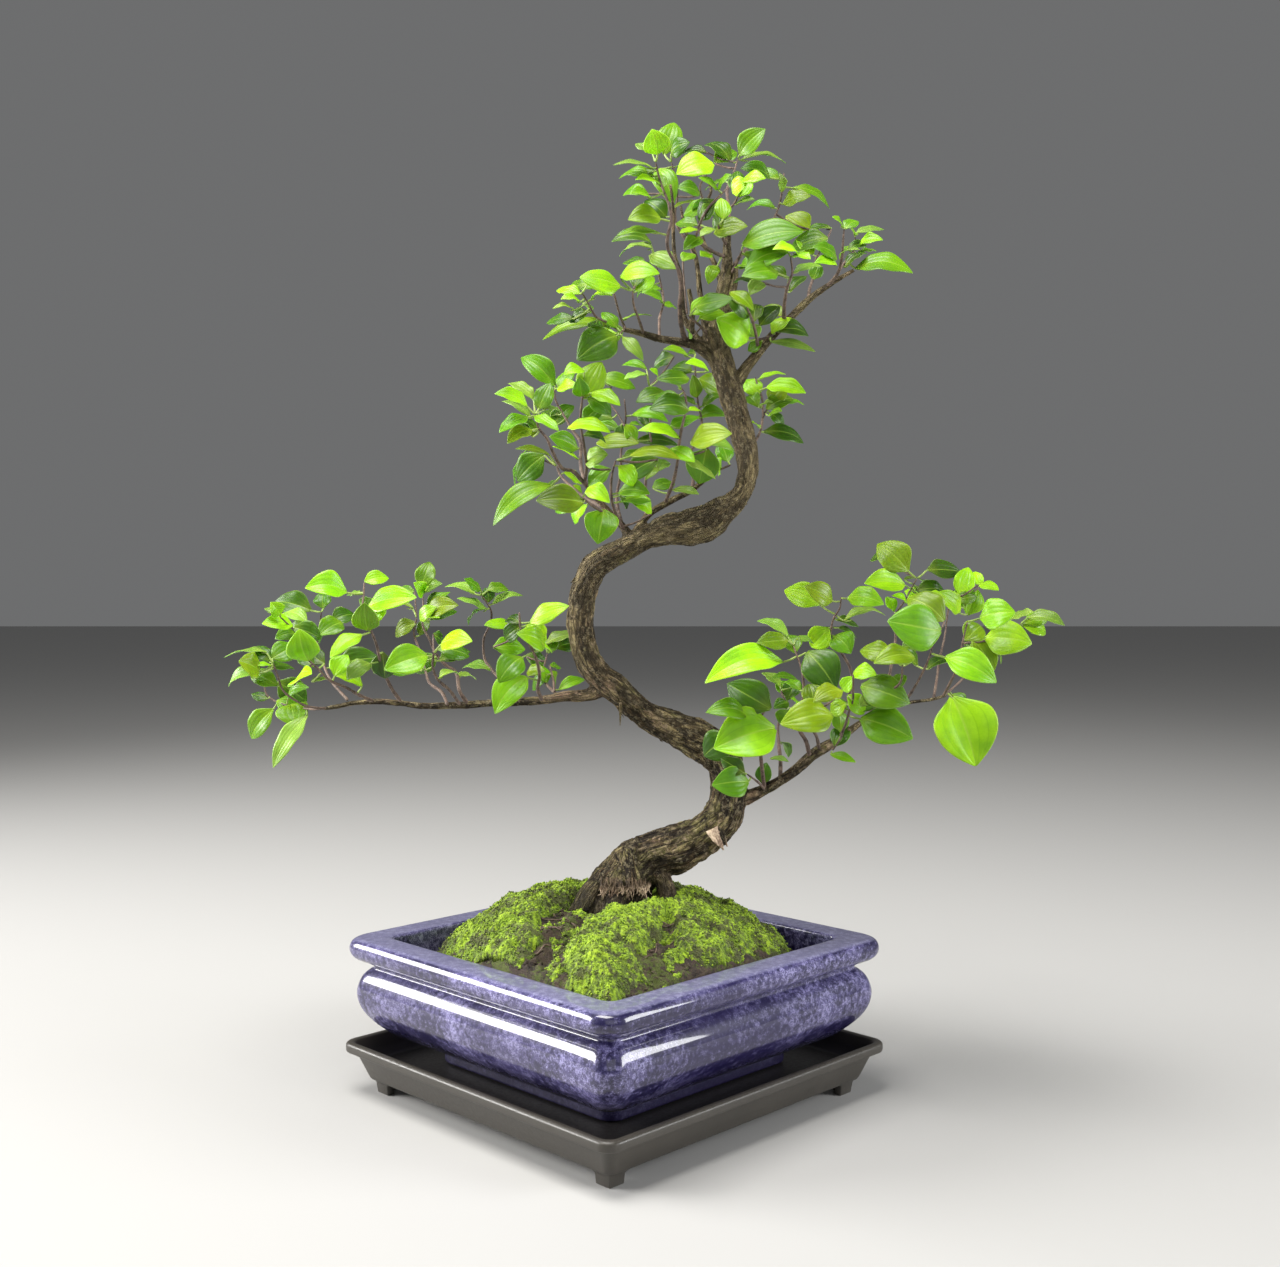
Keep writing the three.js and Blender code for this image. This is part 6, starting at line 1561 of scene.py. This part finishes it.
        [1.2, 0.6, 47.5,388,-2, 43,393,-10, 37,398,-14],
    ], [
        [42,402, 58.5,405.5, -6, 10, 60, 1], [38,386.5, 37,390.5, -6, 4, 60, 1],
        [35,425, 40.5,428, 7, 6, 50, 2],
    ]],
]

leaf = {
    # Half-width of a blade along its length, both as shares.
    "outline": [
        (0, 0.07), (0.05, 0.17), (0.1, 0.37), (0.17, 0.66), (0.26, 0.9), (0.38, 1.0), (0.5, 0.99),
        (0.62, 0.9), (0.74, 0.74), (0.85, 0.5), (0.94, 0.24), (1, 0.02),
    ],
    "grow": (0.05, 0.1),     # share of its length that a blade runs past its listed base and tip
    "across": 6, "along": 10, "thickness": 0.34,
    "fold": (0.12, 0.4), "curl": (0.0, 0.25), "arch": (0.06, 0.2), "ripple": (0.2, 0.8),
    "stalk": 0.5, "wide": 1.26,
    "woodyPast": 12,         # a stalk longer than this is a twig of its own
    # Deep, mid, lime, olive and pale tints.
    "tints": [(0.05, 0.125, 0.002), (0.115, 0.265, 0.003), (0.28, 0.55, 0.005), (0.175, 0.27, 0.004),
              (0.19, 0.32, 0.04)],
    "sickle": 0.025,         # sideways bend of a blade, in parts of its length
    "tipward": 1.12,         # draws the rows of a blade towards its stalk
    "young": 2,              # small leaves added along each twig, behind the listed ones
    "youngLength": (8.5, 15), "youngStalk": (1.5, 5), "youngWidth": (0.5, 0.66),
    "stray": 0.2, "tintStray": 0.05,
    "twig": 0.86,            # thinner twigs than the CAD's
    "spread": 1.6,           # twigs reach this much further to the front or back than listed
}


# Distance to the nearest twig on the front elevation, and the point of the twig there.
def nearestOnTwigs(twigs, x, z):
    best = None
    for twig in twigs:
        for i in range(2, len(twig) - 5, 3):
            x0, z0, d0, x1, z1, d1 = twig[i:i + 6]
            t = ((x - x0) * (x1 - x0) + (z - z0) * (z1 - z0)) / ((x1 - x0) ** 2 + (z1 - z0) ** 2)
            t = clamped(t)
            at = (x0 + (x1 - x0) * t, z0 + (z1 - z0) * t, d0 + (d1 - d0) * t)
            away = math.hypot(at[0] - x, at[1] - z)
            if best is None or away < best[0]:
                best = (away, at)
    return best


# One leaf: a grid drawn to the outline, folded, arched and rippled, then given its thickness.
def addLeaf(bm, layers, twigs, row):
    baseX, baseZ, tipX, tipZ, depth, width, roll, tone = row
    away, root = nearestOnTwigs(twigs, baseX, baseZ)
    baseDepth = root[2] + depth * min(1.5, away / math.hypot(tipX - baseX, tipZ - baseZ))
    start, base, tip = place(*root), place(baseX, baseZ, baseDepth), place(tipX, tipZ, baseDepth + depth)
    axis = (tip - base).normalized()
    length = (tip - base).length
    if away > 2:
        base = base - axis * leaf["grow"][0] * length
    tip = tip + axis * leaf["grow"][1] * length
    length = (tip - base).length
    angle = math.radians(roll)
    face = Vector((0, -math.sin(angle), math.cos(angle)))
    face = (face - axis * face.dot(axis)).normalized()
    side = axis.cross(face)
    half = leaf["wide"] * width / 2 * mm
    fold, curl, arch, ripple = (rng.uniform(*leaf[key]) for key in ("fold", "curl", "arch", "ripple"))
    sickle, waves, phase = rng.gauss(0, leaf["sickle"]), rng.uniform(1.2, 2.6), rng.uniform(0, math.tau)
    bright = 1 + rng.gauss(0, leaf["stray"])
    tint = [max(0.0, c * bright * (1 + rng.gauss(0, leaf["tintStray"]))) for c in leaf["tints"][tone]]
    outlineT, outlineW = zip(*leaf["outline"])

    before = set(bm.faces)
    made = bmesh.ops.create_grid(bm, x_segments=leaf["across"], y_segments=leaf["along"], size=1,
                                 calc_uvs=True)["verts"]
    for vert in made:
        across, t = vert.co.x, ((vert.co.y + 1) / 2) ** leaf["tipward"]
        wide = float(np.interp(t, outlineT, outlineW)) * half
        lift = fold * abs(across) * wide - curl * abs(across) ** 3 * wide + arch * length * 4 * t * (1 - t)
        swell = math.sin(waves * math.tau * t + phase + (2.1 if across > 0 else 0))
        lift += ripple * mm * abs(across) ** 2 * swell * min(1, 4 * (1 - t)) * min(1, wide / half * 1.2)
        along = t * length - 0.02 * length * across * across * (1 - t)
        aside = across * wide + sickle * length * 4 * t * (1 - t)
        vert.co = base + axis * along + side * aside + face * lift
        vert[layers["tint"]] = (*tint, 1)
    faces = [f for f in bm.faces if f not in before]
    for item in faces:
        item.normal_update()
        item.material_index = 0
    if sum(item.normal.dot(face) for item in faces) < 0:
        bmesh.ops.reverse_faces(bm, faces=faces)
    top = set(faces)
    bmesh.ops.solidify(bm, geom=faces, thickness=leaf["thickness"] * mm)
    for item in (f for f in bm.faces if f not in before and f not in top):
        item.normal_update()
        item.material_index = 1 if item.normal.dot(face) < 0 else 0
    addStalk(bm, start, base, axis, face, length, half)


# A stalk from its twig to the blade's base, run on a little way under the midrib.
def addStalk(bm, start, base, axis, face, length, half):
    size = leaf["stalk"] * mm * min(1.25, 0.75 + half / (12 * mm))
    under = base + axis * length * 0.1 - face * 0.35 * mm
    end = base + axis * length * 0.2 + face * (0.02 * length - 0.25 * mm)
    sag = Vector((0, 0, -0.06 * (base - start).length))
    if (base - start).length < 1.2 * mm:
        points = [start, under, end]
        radii = [size * 1.1, size, size * 0.4]
    else:
        points = [start, (start + base) / 2 + sag, base - face * 0.1 * mm, under, end]
        radii = [size * 1.25, size * 0.95, size, size * 0.85, size * 0.3]
    woody = (base - start).length > leaf["woodyPast"] * mm
    addTube(bm, points, radii, 6, 2.6 * mm, material=3 if woody else 2)


# More leaves for a shoot, kept inside the spread of its listed ones.
def youngLeaves(twigs, leaves):
    lowX, highX = min(min(r[0], r[2]) for r in leaves), max(max(r[0], r[2]) for r in leaves)
    lowZ, highZ = min(min(r[1], r[3]) for r in leaves), max(max(r[1], r[3]) for r in leaves)
    rows = []
    for twig in twigs:
        wanted, tries = len(rows) + leaf["young"], 0
        while len(rows) < wanted and tries < 40:
            tries += 1
            i = 2 + 3 * rng.randrange(max(0, (len(twig) - 2) // 3 - 4), (len(twig) - 2) // 3 - 1)
            share, angle = rng.random(), rng.uniform(0, math.tau)
            x, z = (twig[i + k] + (twig[i + 3 + k] - twig[i + k]) * share for k in (0, 1))
            length, stalk = rng.uniform(*leaf["youngLength"]), rng.uniform(*leaf["youngStalk"])
            rise = math.sin(angle) * 0.75
            baseX, baseZ = x + stalk * math.cos(angle), z + stalk * rise
            tipX, tipZ = baseX + length * math.cos(angle), baseZ + length * rise
            if lowX < tipX < highX and lowZ < tipZ < highZ and math.hypot(tipX - baseX, tipZ - baseZ) > 5:
                depth, width = rng.uniform(1, 9), length * rng.uniform(*leaf["youngWidth"])
                roll, tone = rng.uniform(10, 75), rng.choice((0, 0, 1, 1, 2))
                rows.append([baseX, baseZ, tipX, tipZ, depth, width, roll, tone])
    return rows


# A listed twig with its depths spread out from its first point.
def spreadTwig(twig):
    return [twig[4] + (value - twig[4]) * leaf["spread"] if i > 1 and i % 3 == 1 else value
            for i, value in enumerate(twig)]


def makeShoot(name, twigs, leaves):
    twigs = [spreadTwig(twig) for twig in twigs]
    bm = bmesh.new()
    bm.loops.layers.uv.new("leafUv")
    layers = {"tint": bm.verts.layers.float_color.new("tint")}
    for twig in twigs:
        points = [place(*twig[i:i + 3]) for i in range(2, len(twig), 3)]
        radii = [leaf["twig"] * (twig[0] + (twig[1] - twig[0]) * i / (len(points) - 1)) * mm
                 for i in range(len(points))]
        addTube(bm, points, radii, 7, 1.8 * mm, material=3, knob=0.32)
    for row in leaves + youngLeaves(twigs, leaves):
        addLeaf(bm, layers, twigs, row)
    piece = "".join(part.capitalize() for part in name.split("_"))
    finishPiece("shoot" + piece, bm, [leafFace, leafBack, stalkGreen, twigBark], [name],
                subdivide=1)


for name, twigs, leaves in shoots:
    makeShoot(name, twigs, leaves)
print("stage:", len(shoots), "shoots made")


studio = {
    "floorHalf": 6, "floorColour": (0.4, 0.396, 0.388, 1),
    "air": (0.9, 0.91, 0.92, 1), "airStrength": 0.17,
}


def makeStage():
    bm = bmesh.new()
    bmesh.ops.create_grid(bm, x_segments=1, y_segments=1, size=studio["floorHalf"])
    mesh = bpy.data.meshes.new("floor")
    bm.to_mesh(mesh)
    bm.free()
    floor = bpy.data.objects.new("floor", mesh)
    bpy.context.scene.collection.objects.link(floor)
    material, tree, shader = newMaterial("paleFloor", Roughness=0.7)
    shader.inputs["Base Color"].default_value = studio["floorColour"]
    mesh.materials.append(material)


lights = {
    # name: place, size across and up, spread in degrees, watts, colour
    "overhead": ((-0.3, -0.3, 1.5), (0.9, 0.7), 180, 32, (1, 0.98, 0.94)),
    "leftBox": ((-1.65, 0.03, 0.7), (1.2, 0.75), 110, 23, (1, 0.99, 0.97)),
    "rightBox": ((1.88, -0.51, 0.73), (0.93, 0.9), 110, 14, (0.98, 0.99, 1)),
    "frontFill": ((0.25, -1.7, 0.9), (1.4, 1.0), 180, 5, (1, 1, 1)),
}


def makeLights():
    for name, (at, (across, up), spread, watts, colour) in lights.items():
        data = bpy.data.lights.new(name, "AREA")
        data.spread = math.radians(spread)
        data.shape, data.size, data.size_y, data.energy, data.color = "RECTANGLE", across, up, watts, colour
        lamp = bpy.data.objects.new(name, data)
        lamp.location = at
        lamp.rotation_euler = (Vector((0, 0, 0.2)) - Vector(at)).to_track_quat("-Z", "Y").to_euler()
        bpy.context.scene.collection.objects.link(lamp)
    world = bpy.data.worlds.new("studio")
    bpy.context.scene.world = world
    world.use_nodes = True
    background = world.node_tree.nodes["Background"]
    background.inputs[0].default_value = studio["air"]
    background.inputs[1].default_value = studio["airStrength"]
    bpy.context.scene.view_settings.view_transform = "Standard"


def makeCamera():
    data = bpy.data.cameras.new("camera")
    data.lens, data.sensor_width = viewing["lens"], viewing["sensor"]
    data.clip_start, data.clip_end = 0.01, 20
    camera = bpy.data.objects.new("camera", data)
    camera.location = potCentre + Vector(viewing["eye"]) * mm
    camera.rotation_euler = (math.radians(90 - viewing["pitch"]), 0, 0)
    bpy.context.scene.collection.objects.link(camera)
    bpy.context.scene.camera = camera


makeStage()
makeLights()
makeCamera()
print("stage: floor, lights and camera set")
